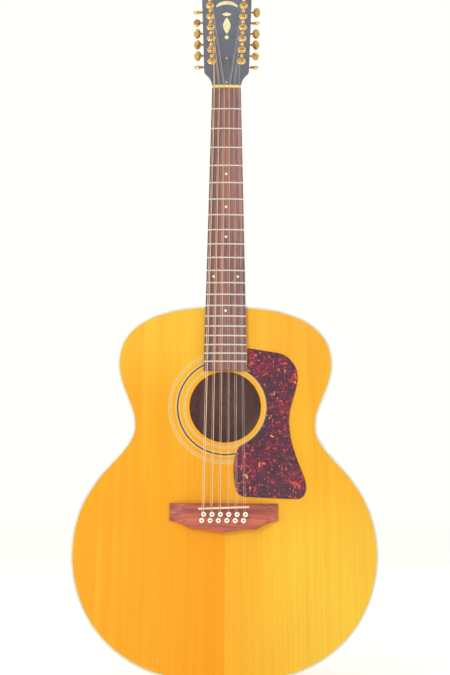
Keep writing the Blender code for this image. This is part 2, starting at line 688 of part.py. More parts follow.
def head_half_outline():
    """(x, along) from the nut's edge up to the centre of the head's top."""
    start = (NUT_HALF, NUT_LENGTH + 1.6 * MM)
    shoulder = (HEAD_SHOULDER_HALF - 1.4 * MM, HEAD_SHOULDER_AT - 4.5 * MM)
    points = bezier(start, (NUT_HALF, start[1] + 14 * MM), (shoulder[0] - 5.6 * MM, shoulder[1] - 6 * MM),
                    shoulder, 7)
    points.append((HEAD_SHOULDER_HALF, HEAD_SHOULDER_AT))
    corner_end = (HEAD_TOP_HALF - 6 * MM, HEAD_CORNER_AT + 4.5 * MM)
    points += bezier((HEAD_TOP_HALF, HEAD_CORNER_AT - 5 * MM),
                     (HEAD_TOP_HALF + 0.3 * MM, HEAD_CORNER_AT + 1 * MM),
                     (HEAD_TOP_HALF - 1.5 * MM, HEAD_CORNER_AT + 3 * MM), corner_end, 4)
    points += bezier(corner_end, (24 * MM, HEAD_LENGTH - 2 * MM), (12 * MM, HEAD_LENGTH),
                     (0, HEAD_LENGTH), 4, first=False)
    return points


def head_slab(out_front, out_back):
    half = head_half_outline()
    full = half + [(-x, a) for x, a in reversed(half) if x > 1e-6]
    return skin(bmesh.new(), [[head_point(x, a, out_front) for x, a in full],
                              [head_point(x, a, out_back) for x, a in full]])


def post_place(index, sign):
    """(x, along) of a tuning post; index 0 is nearest the nut."""
    share = index / (TUNERS_PER_SIDE - 1)
    out = FIRST_POST_OUT + (LAST_POST_OUT - FIRST_POST_OUT) * share
    return sign * out, FIRST_POST_AT + POST_PITCH * index


def post_bores(name, radius, out_from, out_to):
    bm = bmesh.new()
    for sign in (-1, 1):
        for index in range(TUNERS_PER_SIDE):
            x, along = post_place(index, sign)
            add_cylinder(bm, head_point(x, along, out_from), head_point(x, along, out_to), radius, 8)
    return add_mesh(name, bm)


def neck_depth(z):
    share = min(1.0, max(0.0, -z) / (BODY_TOP - HEEL_START))
    return NECK_DEPTH_AT_NUT + (NECK_DEPTH_AT_HEEL - NECK_DEPTH_AT_NUT) * share


def neck_section(z, heel):
    """Half-round shaft section; heel runs from 0 to 1 as it turns into the tall heel."""
    rise = 1 - math.sqrt(max(0.0, 1 - heel ** 2))
    heel_depth = rim_depth(-BODY_TOP) - GAP
    depth = neck_depth(z) + (heel_depth - neck_depth(z)) * rise
    square = min(1.0, 1.4 * heel)
    side_power, depth_power = 1 - 0.45 * square, 1 - 0.4 * square
    half = board_half(z)
    points = []
    steps = 14
    for i in range(steps + 1):
        angle = math.pi * i / steps
        across, down = math.cos(angle), math.sin(angle) if 0 < i < steps else 0.0
        share = down ** depth_power
        reach = half + (min(half, HEEL_CAP_HALF + 4 * MM) - half) * share * rise
        points.append((math.copysign(abs(across) ** side_power, across) * reach, depth * share, z))
    return points


def build_neck():
    sections = []
    shaft_end = -(BODY_TOP - HEEL_START)
    nut_end = NUT_LENGTH + 0.8 * MM
    for i in range(4):
        sections.append(neck_section(nut_end + (shaft_end - nut_end) * i / 4, 0.0))
    heel_end = -BODY_TOP + GAP
    for heel in (0, 0.25, 0.45, 0.6, 0.72, 0.82, 0.9, 0.96, 1.0):
        sections.append(neck_section(shaft_end + (heel_end - shaft_end) * heel, heel))
    neck = add_mesh("neck", skin(bmesh.new(), sections), mahogany, 40)
    cut(neck, add_mesh("head_core", head_slab(-OVERLAY_THICK - GAP, -HEAD_THICK)), "UNION")
    cut(neck, post_bores("neck_post_cutter", POST_RADIUS + POST_CLEARANCE, 10 * MM, -40 * MM))
    overlay = add_mesh("headstock_overlay", head_slab(0.0, -OVERLAY_THICK), black)
    cut(overlay, post_bores("overlay_post_cutter", POST_RADIUS + POST_CLEARANCE, 10 * MM, -40 * MM))


def build_truss_cover():
    """Bell-shaped plate just above the nut."""
    half = [(8.5 * MM, COVER_FROM), (9.5 * MM, COVER_FROM + 8 * MM), (7.5 * MM, COVER_FROM + 24 * MM),
            (4.6 * MM, COVER_TO - 16 * MM), (4.2 * MM, COVER_TO - 6 * MM), (2.6 * MM, COVER_TO - 1.2 * MM),
            (0.0, COVER_TO)]
    full = half + [(-x, a) for x, a in reversed(half) if x > 0]
    sections = [[head_point(x, a, out) for x, a in full] for out in (GAP, GAP + COVER_THICK)]
    add_mesh("truss_rod_cover", skin(bmesh.new(), sections), black)


# ---- tuners and strings ----

def tuner_blocks(sign, wall, out_front, out_back):
    """One block behind each post of a side, drawn in by the wall's thickness."""
    bm = bmesh.new()
    half = HOUSING_HALF - wall
    for index in range(TUNERS_PER_SIDE):
        x, along = post_place(index, sign)
        low, high = along - HOUSING_BELOW_POST + wall, along + HOUSING_ABOVE_POST - wall
        square = [(x - half, low), (x + half, low), (x + half, high), (x - half, high)]
        skin(bm, [[head_point(px, a, out) for px, a in square] for out in (out_front, out_back)])
    return bm


def build_tuner_strips():
    for name, sign in (("tuner_strip_bass", -1), ("tuner_strip_treble", 1)):
        front, back = -HEAD_THICK - GAP, -HEAD_THICK - GAP - HOUSING_DEPTH
        first, last = post_place(0, sign), post_place(TUNERS_PER_SIDE - 1, sign)
        bm = bmesh.new()
        low_end = first[1] - HOUSING_BELOW_POST - 4 * MM
        high_end = last[1] + HOUSING_ABOVE_POST + 4 * MM
        corners = [(first[0] - PLATE_HALF, low_end), (first[0] + PLATE_HALF, low_end),
                   (last[0] + PLATE_HALF, high_end), (last[0] - PLATE_HALF, high_end)]
        skin(bm, [[head_point(x, a, front) for x, a in corners],
                  [head_point(x, a, front - PLATE_THICK) for x, a in corners]])
        strip = add_mesh(name, bm, gold)
        boxes = tuner_blocks(sign, 0.0, front - PLATE_THICK / 2, back)
        pockets = tuner_blocks(sign, HOUSING_WALL, front + 2 * MM, back + HOUSING_WALL)
        cut(strip, add_mesh(name + "_boxes", boxes), "UNION")
        cut(strip, add_mesh(name + "_pockets", pockets))
        bores = bmesh.new()
        for index in range(TUNERS_PER_SIDE):
            x, along = post_place(index, sign)
            wall = HOUSING_HALF - HOUSING_WALL / 2
            add_cylinder(bores, head_point(x + sign * (wall - 2 * MM), along + WORM_OFFSET, GEAR_OUT),
                         head_point(x + sign * (wall + 2 * MM), along + WORM_OFFSET, GEAR_OUT),
                         SHAFT_RADIUS + SHAFT_CLEARANCE, 8)
        cut(strip, add_mesh(name + "_bores", bores))


def knob_mesh():
    """Worm, shaft, collar and flat oval button along +X from the post's axis."""
    bm = bmesh.new()
    collar = HOUSING_HALF + 0.4 * MM
    button_start = BUTTON_CENTRE - BUTTON_HALF_LENGTH
    profile = [(SHAFT_RADIUS, -5.4 * MM), (SHAFT_RADIUS, -4.4 * MM), (WORM_RADIUS, -4.2 * MM),
               (WORM_RADIUS, 4.2 * MM), (SHAFT_RADIUS, 4.4 * MM), (SHAFT_RADIUS, collar),
               (2.6 * MM, collar + 0.1 * MM), (2.6 * MM, collar + 2.2 * MM),
               (SHAFT_RADIUS, collar + 2.6 * MM), (SHAFT_RADIUS, button_start + 2.5 * MM)]
    add_turned(bm, profile, 6)
    bm.transform(Matrix.Rotation(math.pi / 2, 4, "Y"))
    knob = add_mesh("knob_shaft", bm)
    bm = bmesh.new()
    matrix = Matrix.Translation((BUTTON_CENTRE, 0, 0)) @ Matrix.Diagonal(
        (BUTTON_HALF_LENGTH, BUTTON_HALF_WIDTH, BUTTON_HALF_THICK, 1))
    bmesh.ops.create_uvsphere(bm, u_segments=10, v_segments=6, radius=1, matrix=matrix)
    button = add_mesh("knob_button", bm)
    cut(knob, button, "UNION")
    merged = bpy.data.meshes.new_from_object(knob.evaluated_get(bpy.context.evaluated_depsgraph_get()))
    bpy.data.objects.remove(knob, do_unlink=True)
    bpy.data.objects.remove(button, do_unlink=True)
    merged.name = "tuner_knob"
    merged.materials.clear()
    merged.materials.append(gold)
    merged.shade_smooth()
    merged.set_sharp_from_angle(angle=math.radians(40))
    return merged


def post_mesh():
    """Gear wheel and string post along +Z; z = 0 lies on the headstock's face."""
    bm = bmesh.new()
    low, high = GEAR_OUT - GEAR_THICK / 2, GEAR_OUT + GEAR_THICK / 2
    add_turned(bm, [(GEAR_RADIUS, low), (GEAR_RADIUS, high), (POST_RADIUS, high),
                    (POST_RADIUS, WAIST_FROM - 0.5 * MM),
                    (POST_WAIST_RADIUS, WAIST_FROM), (POST_WAIST_RADIUS, WAIST_TO),
                    (POST_RADIUS, WAIST_TO + 0.8 * MM), (POST_RADIUS, POST_PROUD - 0.8 * MM),
                    (POST_RADIUS - 0.8 * MM, POST_PROUD)], 8)
    bmesh.ops.recalc_face_normals(bm, faces=bm.faces)
    mesh = bpy.data.meshes.new("tuner_post")
    bm.to_mesh(mesh)
    bm.free()
    mesh.materials.append(gold)
    mesh.shade_smooth()
    mesh.set_sharp_from_angle(angle=math.radians(40))
    return mesh


def build_tuners():
    knob, post = knob_mesh(), post_mesh()
    upright = math.pi / 2 - HEAD_TILT
    for side_name, sign, turns in (("bass", -1, BASS_TURNS), ("treble", 1, TREBLE_TURNS)):
        for index in range(TUNERS_PER_SIDE):
            x, along = post_place(index, sign)
            post_object = bpy.data.objects.new(f"post_{side_name}_{index + 1}", post)
            post_object.matrix_world = Matrix.Translation(head_point(x, along, 0)) @ \
                Matrix.Rotation(upright, 4, "X")
            knob_object = bpy.data.objects.new(f"knob_{side_name}_{index + 1}", knob)
            facing = Matrix.Rotation(math.pi if sign < 0 else 0, 4, "Z")
            knob_object.matrix_world = Matrix.Translation(head_point(x, along + WORM_OFFSET, GEAR_OUT)) @ \
                Matrix.Rotation(upright + math.radians(turns[index]), 4, "X") @ facing
            for obj in (post_object, knob_object):
                bpy.context.collection.objects.link(obj)


def post_for(row):
    """The post a string runs to: outer courses take the posts nearest the nut."""
    sign = -1 if row["course"] < COURSE_COUNT / 2 else 1
    from_edge = row["course"] if sign < 0 else COURSE_COUNT - 1 - row["course"]
    outer = row["member"] == (0 if sign < 0 else 1)
    return sign, 2 * from_edge + (0 if outer else 1)


def string_points(row):
    radius = row["radius"]
    pin_forward = 1.5 * MM
    behind_nut = NUT_LENGTH + 2 * GAP
    nut_y = -STRING_AT_NUT + crown_drop(row["nut_x"]) - radius
    saddle_y = -SADDLE_CROWN + crown_drop(row["saddle_x"]) - radius
    points = [(row["pin_x"], 8 * MM, row["pin_z"] + pin_forward),
              (row["pin_x"], -BRIDGE_HEIGHT - 0.5 * MM - radius, row["pin_z"] + pin_forward),
              (row["saddle_x"], saddle_y, -saddle_line(row["saddle_x"])),
              (row["nut_x"], nut_y, 0.0), (row["nut_x"], nut_y, behind_nut)]
    sign, index = post_for(row)
    post_x, post_along = post_place(index, sign)
    wrap = POST_WAIST_RADIUS + GAP + radius
    dx, dh = row["nut_x"] - post_x, behind_nut - post_along
    start = math.atan2(dh, dx) - sign * math.acos(wrap / math.hypot(dx, dh))
    height = WRAP_HEIGHTS[index % 2]
    pitch = 2 * radius + 0.35 * MM
    steps = round(9 * WRAP_TURNS)
    for i in range(steps + 1):
        turned = WRAP_TURNS * 2 * math.pi * i / steps
        angle = start - sign * turned
        points.append(tuple(head_point(post_x + wrap * math.cos(angle), post_along + wrap * math.sin(angle),
                                       height - pitch * turned / (2 * math.pi))))
    return points


def build_strings():
    for row in STRINGS:
        curve = bpy.data.curves.new(row["name"], "CURVE")
        curve.dimensions = "3D"
        curve.bevel_depth = row["radius"]
        curve.bevel_resolution = 1
        curve.use_fill_caps = True
        points = string_points(row)
        spline = curve.splines.new("POLY")
        spline.points.add(len(points) - 1)
        for point, place in zip(spline.points, points):
            point.co = (*place, 1)
        curve.materials.append(bronze if row["radius"] > 0.2 * MM else steel)
        bpy.context.collection.objects.link(bpy.data.objects.new(row["name"], curve))


def build_end_pin():
    bm = bmesh.new()
    add_turned(bm, [(END_PIN_SHANK, -16 * MM), (END_PIN_SHANK, GAP), (END_PIN_RADIUS - 0.8 * MM, GAP),
                    (END_PIN_RADIUS, 1.5 * MM), (END_PIN_SHANK + 0.6 * MM, 5 * MM),
                    (END_PIN_SHANK + 0.6 * MM, 8 * MM), (END_PIN_RADIUS - 1 * MM, 10.5 * MM),
                    (END_PIN_RADIUS - 1 * MM, 12.5 * MM), (END_PIN_RADIUS - 3 * MM, END_PIN_PROUD)], 16)
    pin = add_mesh("end_pin", bm, cream, 40)
    pin.matrix_world = Matrix.Translation((0, END_PIN_Y, BODY_BOTTOM)) @ Matrix.Rotation(math.pi, 4, "X")


build_soundboard()
build_back()
build_rims()
build_linings()
build_blocks()
build_braces()
build_pickguard()
build_bridge()
build_fretboard()
build_nut()
build_neck()
build_truss_cover()
build_tuner_strips()
build_tuners()
build_strings()
build_end_pin()
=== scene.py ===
import json
import math

import bmesh
import bpy
import mathutils
from mathutils import Matrix, Vector


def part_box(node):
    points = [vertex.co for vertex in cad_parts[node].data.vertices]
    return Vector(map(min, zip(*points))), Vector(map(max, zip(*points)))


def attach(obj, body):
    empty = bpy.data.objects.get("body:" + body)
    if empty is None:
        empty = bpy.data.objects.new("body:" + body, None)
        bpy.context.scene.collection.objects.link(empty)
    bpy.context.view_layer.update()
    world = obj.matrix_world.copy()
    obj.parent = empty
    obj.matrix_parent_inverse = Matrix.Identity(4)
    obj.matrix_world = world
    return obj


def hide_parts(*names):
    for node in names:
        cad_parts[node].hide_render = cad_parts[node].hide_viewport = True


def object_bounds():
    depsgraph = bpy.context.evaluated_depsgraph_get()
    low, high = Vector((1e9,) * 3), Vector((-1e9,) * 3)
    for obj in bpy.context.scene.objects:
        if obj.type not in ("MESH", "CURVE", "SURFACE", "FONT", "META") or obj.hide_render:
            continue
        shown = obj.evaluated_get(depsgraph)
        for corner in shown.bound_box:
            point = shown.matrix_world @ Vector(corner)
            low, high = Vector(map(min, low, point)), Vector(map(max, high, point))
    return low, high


# Twelve-string jumbo guitar: front towards -Y, neck up +Z, bass side -X, origin at the nut.

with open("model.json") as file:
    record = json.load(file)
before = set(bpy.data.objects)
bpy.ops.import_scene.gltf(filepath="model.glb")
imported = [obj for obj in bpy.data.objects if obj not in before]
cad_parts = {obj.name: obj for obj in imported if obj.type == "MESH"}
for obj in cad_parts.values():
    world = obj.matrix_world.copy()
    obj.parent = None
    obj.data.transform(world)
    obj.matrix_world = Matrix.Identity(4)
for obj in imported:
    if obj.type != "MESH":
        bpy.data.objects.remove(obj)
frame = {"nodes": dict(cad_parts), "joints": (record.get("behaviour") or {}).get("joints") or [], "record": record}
cadLow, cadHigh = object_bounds()
nodes = frame["nodes"]
joints = {joint["child"]: joint for joint in frame["joints"]}
mm = 0.001
gap = 0.3 * mm


# camera, light and floor

cameraSettings = {"lens": 40.73, "place": (-0.0007, -1.1024, -0.6711), "lookUp": 13.387, "lean": 0.25}
studio = {
    "backdrop": (1.0, 1.0, 0.965), "roomLight": 0.80, "aim": (0, 0, -0.45),
    "keyPlace": (-1.35, -1.75, 0.25), "keyPower": 14.5, "keySize": 0.35,
    "fillPlace": (1.3, -2.0, -0.2), "fillPower": 2.0, "fillSize": 1.6,
    "backPlace": (0.8, 2.2, 0.9), "backPower": 8.7, "backSize": 0.7,
    "floorColour": (0.97, 0.97, 0.935), "floorGlow": 0.215, "floorReach": 40.0, "floorDrop": 0.5 * mm,
}


def makeCamera():
    data = bpy.data.cameras.new("camera")
    data.lens = cameraSettings["lens"]
    data.sensor_width = 36
    camera = bpy.data.objects.new("camera", data)
    bpy.context.scene.collection.objects.link(camera)
    tilt = Matrix.Rotation(math.radians(90 + cameraSettings["lookUp"]), 4, "X")
    roll = Matrix.Rotation(math.radians(cameraSettings["lean"]), 4, "Z")
    camera.matrix_world = Matrix.Translation(cameraSettings["place"]) @ tilt @ roll
    bpy.context.scene.camera = camera


def addSoftbox(kind):
    data = bpy.data.lights.new(kind + "Light", "AREA")
    data.shape = "RECTANGLE"
    data.size = data.size_y = studio[kind + "Size"]
    data.energy = studio[kind + "Power"]
    light = bpy.data.objects.new(kind + "Light", data)
    bpy.context.scene.collection.objects.link(light)
    place = Vector(studio[kind + "Place"])
    aim = (Vector(studio["aim"]) - place).to_track_quat("-Z", "Y")
    light.matrix_world = Matrix.Translation(place) @ aim.to_matrix().to_4x4()


def makeStudio():
    scene = bpy.context.scene
    world = bpy.data.worlds.new("paleRoom")
    world.use_nodes = True
    tree = world.node_tree
    backdrop = tree.nodes["Background"]                   # what is seen behind the guitar
    backdrop.inputs["Color"].default_value = (*studio["backdrop"], 1)
    room = tree.nodes.new("ShaderNodeBackground")         # what lights it
    room.inputs["Color"].default_value = (*studio["backdrop"], 1)
    room.inputs["Strength"].default_value = studio["roomLight"]
    seen = tree.nodes.new("ShaderNodeLightPath")
    mix = tree.nodes.new("ShaderNodeMixShader")
    tree.links.new(seen.outputs["Is Camera Ray"], mix.inputs[0])
    tree.links.new(room.outputs[0], mix.inputs[1])
    tree.links.new(backdrop.outputs[0], mix.inputs[2])
    tree.links.new(mix.outputs[0], tree.nodes["World Output"].inputs[0])
    scene.world = world
    scene.view_settings.view_transform = "Standard"
    for kind in ("key", "fill", "back"):
        addSoftbox(kind)


makeCamera()
makeStudio()
print("camera and light set")


# mesh helpers

def inMm(*points):
    return [tuple(value * mm for value in point) for point in points]


def softened(mesh, angle):
    mesh.shade_smooth()
    mesh.set_sharp_from_angle(angle=math.radians(angle))


def addObject(name, mesh, material=None, smoothAngle=None):
    obj = bpy.data.objects.new(name, mesh)
    bpy.context.scene.collection.objects.link(obj)
    if material:
        mesh.materials.clear()
        mesh.materials.append(material)
    if smoothAngle:
        softened(mesh, smoothAngle)
    return obj


def meshFrom(name, bm, recalculate=True):
    if recalculate:
        bmesh.ops.recalc_face_normals(bm, faces=bm.faces)
    mesh = bpy.data.meshes.new(name)
    bm.to_mesh(mesh)
    bm.free()
    return mesh


def skin(bm, rings, closed=False):
    # faces between rings of equal length or of one point; open ends are capped unless the row closes on itself
    rows = [[bm.verts.new(p) for p in ring] for ring in rings]
    for i in range(len(rows) if closed else len(rows) - 1):
        a, b = rows[i], rows[(i + 1) % len(rows)]
        for j in range(max(len(a), len(b))):
            corners = [a[j % len(a)], a[(j + 1) % len(a)], b[(j + 1) % len(b)], b[j % len(b)]]
            bm.faces.new([corner for k, corner in enumerate(corners) if corner not in corners[:k]])
    for row in () if closed else (rows[0], rows[-1]):
        if len(row) > 2:
            bm.faces.new(row)
    return bm


def ringAt(radius, height, sides):
    return [(radius * math.cos(2 * math.pi * i / sides), radius * math.sin(2 * math.pi * i / sides), height)
            for i in range(sides)]


def turned(bm, profile, sides=32, place=Matrix.Identity(4)):
    # a (radius, height) profile turned about Z; a radius of zero is a closed tip
    return skin(bm, [[place @ Vector(point) for point in ringAt(radius, height, sides if radius else 1)]
                     for radius, height in profile])


def bevelEdges(obj, width, segments=2, angle=35):
    bevel = obj.modifiers.new("softEdges", "BEVEL")
    bevel.width = width
    bevel.segments = segments
    bevel.limit_method = "ANGLE"
    bevel.angle_limit = math.radians(angle)
    return obj


def baked(obj):
    # replaces an object's mesh by what its modifiers make of it
    bpy.context.view_layer.update()
    mesh = bpy.data.meshes.new_from_object(obj.evaluated_get(bpy.context.evaluated_depsgraph_get()))
    obj.modifiers.clear()
    obj.data = mesh
    return obj


def finishPiece(obj, body, slot, *replaced):
    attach(obj, body)
    if replaced:
        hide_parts(*replaced)
    return obj


def softCopy(name, node, width, material, slot):
    # a copy of a CAD node with welded faces and rounded edges
    mesh = nodes[node].data.copy()
    bm = bmesh.new()
    bm.from_mesh(mesh)
    bmesh.ops.remove_doubles(bm, verts=bm.verts, dist=1e-6)
    bmesh.ops.dissolve_limit(bm, angle_limit=math.radians(1), verts=bm.verts, edges=bm.edges)
    bm.to_mesh(mesh)
    bm.free()
    obj = baked(bevelEdges(addObject(name, mesh, material), width))
    softened(obj.data, 40)
    finishPiece(obj, "guitar", slot, node)


def paintFaces(obj, material, test):
    # a second finish on the faces whose centre and normal pass the test
    obj.data.materials.append(material)
    index = len(obj.data.materials) - 1
    for face in obj.data.polygons:
        if test(face.center, face.normal):
            face.material_index = index


def bezier(p0, p1, p2, p3, steps, first=True):
    points = []
    for i in range(0 if first else 1, steps + 1):
        t = i / steps
        u = 1 - t
        points.append(tuple(u ** 3 * a + 3 * u * u * t * b + 3 * u * t * t * c + t ** 3 * d
                            for a, b, c, d in zip(p0, p1, p2, p3)))
    return points


def mirrorHalf(half):
    return half + [(-x, z) for x, z in reversed(half) if x > 1e-6]


def inset(points, distance):
    # moves a closed row, clockwise as seen from the front, towards the inside
    moved = []
    for i, (x, z) in enumerate(points):
        before, after = points[i - 1], points[(i + 1) % len(points)]
        tangent = Vector((after[0] - before[0], after[1] - before[1])).normalized()
        moved.append((x + tangent.y * distance, z - tangent.x * distance))
    return moved


def smoothLoop(points, steps, corner):
    # a rounder row through the same points; places that turn by more than `corner` degrees stay sharp
    count = len(points)
    points = [Vector(p) for p in points]
    sharp = []
    for i in range(count):
        a = points[i] - points[i - 1]
        b = points[(i + 1) % count] - points[i]
        sharp.append(a.angle(b) > math.radians(corner))
    row = []
    for i in range(count):
        p1, p2 = points[i], points[(i + 1) % count]
        p0 = p1 * 2 - p2 if sharp[i] else points[i - 1]
        p3 = p2 * 2 - p1 if sharp[(i + 1) % count] else points[(i + 2) % count]
        for k in range(steps):
            t = k / steps
            row.append(tuple(0.5 * (2 * p1 + (p2 - p0) * t + (2 * p0 - 5 * p1 + 4 * p2 - p3) * t * t
                                    + (3 * p1 - p0 - 3 * p2 + p3) * t ** 3)))
    return row


def roundedLoop(points, rounds):
    # cuts every corner at a quarter of its sides, again and again
    for _ in range(rounds):
        row = []
        for i, a in enumerate(points):
            b = points[(i + 1) % len(points)]
            for share in (0.25, 0.75):
                row.append(tuple((1 - share) * p + share * q for p, q in zip(a, b)))
        points = row
    return points


def plate(name, outline, yFront, yBack, hole=None, edge=0.0):
    # a flat plate between two y values, with an eased front edge and at most one round hole
    bm = bmesh.new()
    loops = []
    for row, sign in ((outline, 1), (hole, -1)):
        if not row:
            continue
        steps = [(0.0, yBack), (0.0, yFront)] if not edge else \
            [(0.0, yBack), (0.0, yFront + edge), (edge * 0.3, yFront + edge * 0.3), (edge, yFront)]
        rings = []
        for distance, y in steps:
            moved = inset(row, distance * sign) if distance else row
            rings.append([bm.verts.new((x, y, z)) for x, z in moved])
        for a, b in zip(rings, rings[1:]):
            for j in range(len(a)):
                k = (j + 1) % len(a)
                bm.faces.new((a[j], a[k], b[k], b[j]))
        loops.append((rings[0], rings[-1]))
    for end in (0, 1):
        edges = []
        for pair in loops:
            ring = pair[end]
            for j in range(len(ring)):
                edges.append(bm.edges.get((ring[j], ring[(j + 1) % len(ring)])))
        bmesh.ops.triangle_fill(bm, use_beauty=True, use_dissolve=False, edges=edges)
    return meshFrom(name, bm)


def circle(x, z, radius, sides):
    return [(x + radius * math.sin(2 * math.pi * i / sides), z + radius * math.cos(2 * math.pi * i / sides))
            for i in range(sides)]


# node helpers

def addNode(tree, kind, inputs=None, **settings):
    made = tree.nodes.new(kind)
    for key, value in settings.items():
        setattr(made, key, value)
    for key, value in (inputs or {}).items():
        if isinstance(value, bpy.types.NodeSocket):
            tree.links.new(value, made.inputs[key])
        else:
            made.inputs[key].default_value = value
    return made


def maths(tree, operation, *values):
    return addNode(tree, "ShaderNodeMath", dict(enumerate(values)), operation=operation).outputs[0]


def ramp(tree, factor, *stops):
    made = addNode(tree, "ShaderNodeValToRGB", {"Fac": factor})
    elements = made.color_ramp.elements
    while len(elements) < len(stops):
        elements.new(0.5)
    for element, (position, colour) in zip(elements, stops):
        element.position = position
        element.color = (*colour, 1)
    return made.outputs["Color"]


def grey(value):
    return (value, value, value)


def mixed(tree, factor, a, b):
    made = addNode(tree, "ShaderNodeMix", {0: factor}, data_type="RGBA")
    for index, value in ((6, a), (7, b)):
        if isinstance(value, bpy.types.NodeSocket):
            tree.links.new(value, made.inputs[index])
        else:
            made.inputs[index].default_value = (*value, 1)
    return made.outputs[2]


def veil(tree, tone, source, clear, full, strength, colour):
    # lays a colour over a tone, from nothing where the pattern is at its clear value to its strength at the full one
    stops = sorted([(clear, grey(0.0)), (full, grey(1.0))])
    return mixed(tree, maths(tree, "MULTIPLY", ramp(tree, source, *stops), strength), tone, colour)


def noise(tree, vector, scale, detail=3, roughness=0.5, distortion=0.0):
    return addNode(tree, "ShaderNodeTexNoise", {"Vector": vector, "Scale": scale, "Detail": detail,
                                                "Roughness": roughness, "Distortion": distortion}).outputs[0]


def stretched(tree, vector, scale, place=(0, 0, 0), turn=(0, 0, 0)):
    return addNode(tree, "ShaderNodeMapping", {"Vector": vector, "Scale": scale, "Location": place,
                                               "Rotation": turn}).outputs[0]


def newMaterial(name, **shaderValues):
    material = bpy.data.materials.new(name)
    material.use_nodes = True
    tree = material.node_tree
    shader = tree.nodes["Principled BSDF"]
    for key, value in shaderValues.items():
        label = key.replace("_", " ")
        shader.inputs[label].default_value = value
    place = addNode(tree, "ShaderNodeTexCoord").outputs["Object"]
    return material, tree, shader, place


def dress(tree, shader, tone, height, distance, strength):
    # gives a finish its colour and its bump
    tree.links.new(tone, shader.inputs["Base Color"])
    bump = addNode(tree, "ShaderNodeBump", {"Height": height, "Distance": distance * mm, "Strength": strength})
    tree.links.new(bump.outputs[0], shader.inputs["Normal"])


def varyRoughness(tree, shader, source, low, high):
    rough = addNode(tree, "ShaderNodeMapRange", {"Value": source, "To Min": low, "To Max": high}).outputs[0]
    tree.links.new(rough, shader.inputs["Roughness"])


def swirled(tree, place, scale, detail, strength):
    # moves a pattern's coordinates about by a soft noise
    drift = addNode(tree, "ShaderNodeTexNoise", {"Vector": place, "Scale": scale, "Detail": detail}).outputs[1]
    shift = addNode(tree, "ShaderNodeVectorMath", {0: drift}, operation="SCALE")
    shift.inputs["Scale"].default_value = strength
    return addNode(tree, "ShaderNodeVectorMath", {0: place, 1: shift.outputs[0]}, operation="ADD").outputs[0]


# finishes

spruceFinish = {
    "left": (0.87, 0.385, 0.017), "leftWarm": (0.875, 0.348, 0.010), "right": (0.87, 0.445, 0.028),
    "rightLow": (0.87, 0.60, 0.055), "upperLeft": (0.865, 0.495, 0.042), "upperRight": (0.87, 0.450, 0.038),
    "line": (0.75, 0.25, 0.008), "glow": (0.92, 0.62, 0.07),
    "lowFrom": -0.60, "lowTo": -0.72, "highFrom": -0.52, "highTo": -0.40,     # heights where the tone changes
    "seamFrom": -0.10, "seamTo": -0.012, "edgeTo": 0.13,                      # and places across
}


def makeSpruce():
    # two book-matched halves under amber lacquer: fine growth lines, broad streaks and cross silk
    material, tree, shader, place = newMaterial("amberSpruce", Roughness=0.38, Coat_Weight=0.10,
                                                Coat_Roughness=0.12, Specular_IOR_Level=0.12)
    s = spruceFinish
    xyz = addNode(tree, "ShaderNodeSeparateXYZ", {0: place}).outputs
    mirrored = maths(tree, "ABSOLUTE", xyz["X"])
    paired = addNode(tree, "ShaderNodeCombineXYZ", {0: mirrored, 2: xyz["Z"]}).outputs[0]
    lines = noise(tree, stretched(tree, paired, (900, 1, 3)), 1.0, 2, 0.6)
    narrow = noise(tree, stretched(tree, paired, (300, 1, 2.2), (0.4, 0, 0)), 1.0, 3, 0.6)
    bands = noise(tree, stretched(tree, paired, (95, 1, 1.2)), 1.0, 4, 0.6)
    streaks = noise(tree, stretched(tree, place, (38, 1, 1.6), (3.1, 0, 0)), 1.0, 4, 0.6)
    clouds = noise(tree, stretched(tree, place, (9, 1, 5), (0.2, 0, 0.9)), 1.0, 3, 0.5)
    silk = noise(tree, stretched(tree, paired, (60, 1, 420)), 1.0, 2, 0.6)

    def between(socket, start, end):
        return addNode(tree, "ShaderNodeMapRange", {"Value": socket, "From Min": start, "From Max": end},
                       interpolation_type="SMOOTHSTEP").outputs[0]

    low = between(xyz["Z"], s["lowFrom"], s["lowTo"])
    high = between(xyz["Z"], s["highFrom"], s["highTo"])
    seam = between(xyz["X"], s["seamFrom"], s["seamTo"])
    leftTone = mixed(tree, maths(tree, "MULTIPLY", seam, low), s["left"], s["leftWarm"])
    outward = maths(tree, "ADD", maths(tree, "MULTIPLY", between(xyz["X"], 0.0, s["edgeTo"]), 0.75), 0.1)
    rightLow = mixed(tree, outward, s["right"], s["rightLow"])
    rightTone = mixed(tree, low, mixed(tree, between(xyz["X"], 0.0, 0.03), s["left"], s["right"]), rightLow)
    tone = mixed(tree, maths(tree, "GREATER_THAN", xyz["X"], 0.0), mixed(tree, high, leftTone, s["upperLeft"]),
                 mixed(tree, high, rightTone, s["upperRight"]))
    lineShade = ramp(tree, lines, (0.36, grey(1.0)), (0.52, grey(0.35)), (0.66, grey(0.0)))
    tone = mixed(tree, maths(tree, "MULTIPLY", lineShade, 0.16), tone, s["line"])
    tone = veil(tree, tone, narrow, 0.56, 0.38, 0.15, s["line"])
    tone = veil(tree, tone, bands, 0.52, 0.34, 0.15, s["line"])
    tone = veil(tree, tone, bands, 0.54, 0.68, 0.14, s["glow"])
    streakShade = ramp(tree, streaks, (0.36, grey(1.0)), (0.50, grey(0.0)), (0.66, grey(0.45)))
    tone = mixed(tree, maths(tree, "MULTIPLY", streakShade, 0.15), tone, s["line"])
    tone = veil(tree, tone, clouds, 0.55, 0.40, 0.12, s["line"])
    tone = veil(tree, tone, silk, 0.6, 0.75, 0.10, s["glow"])
    dress(tree, shader, tone, lines, 0.02, 0.5)
    return material


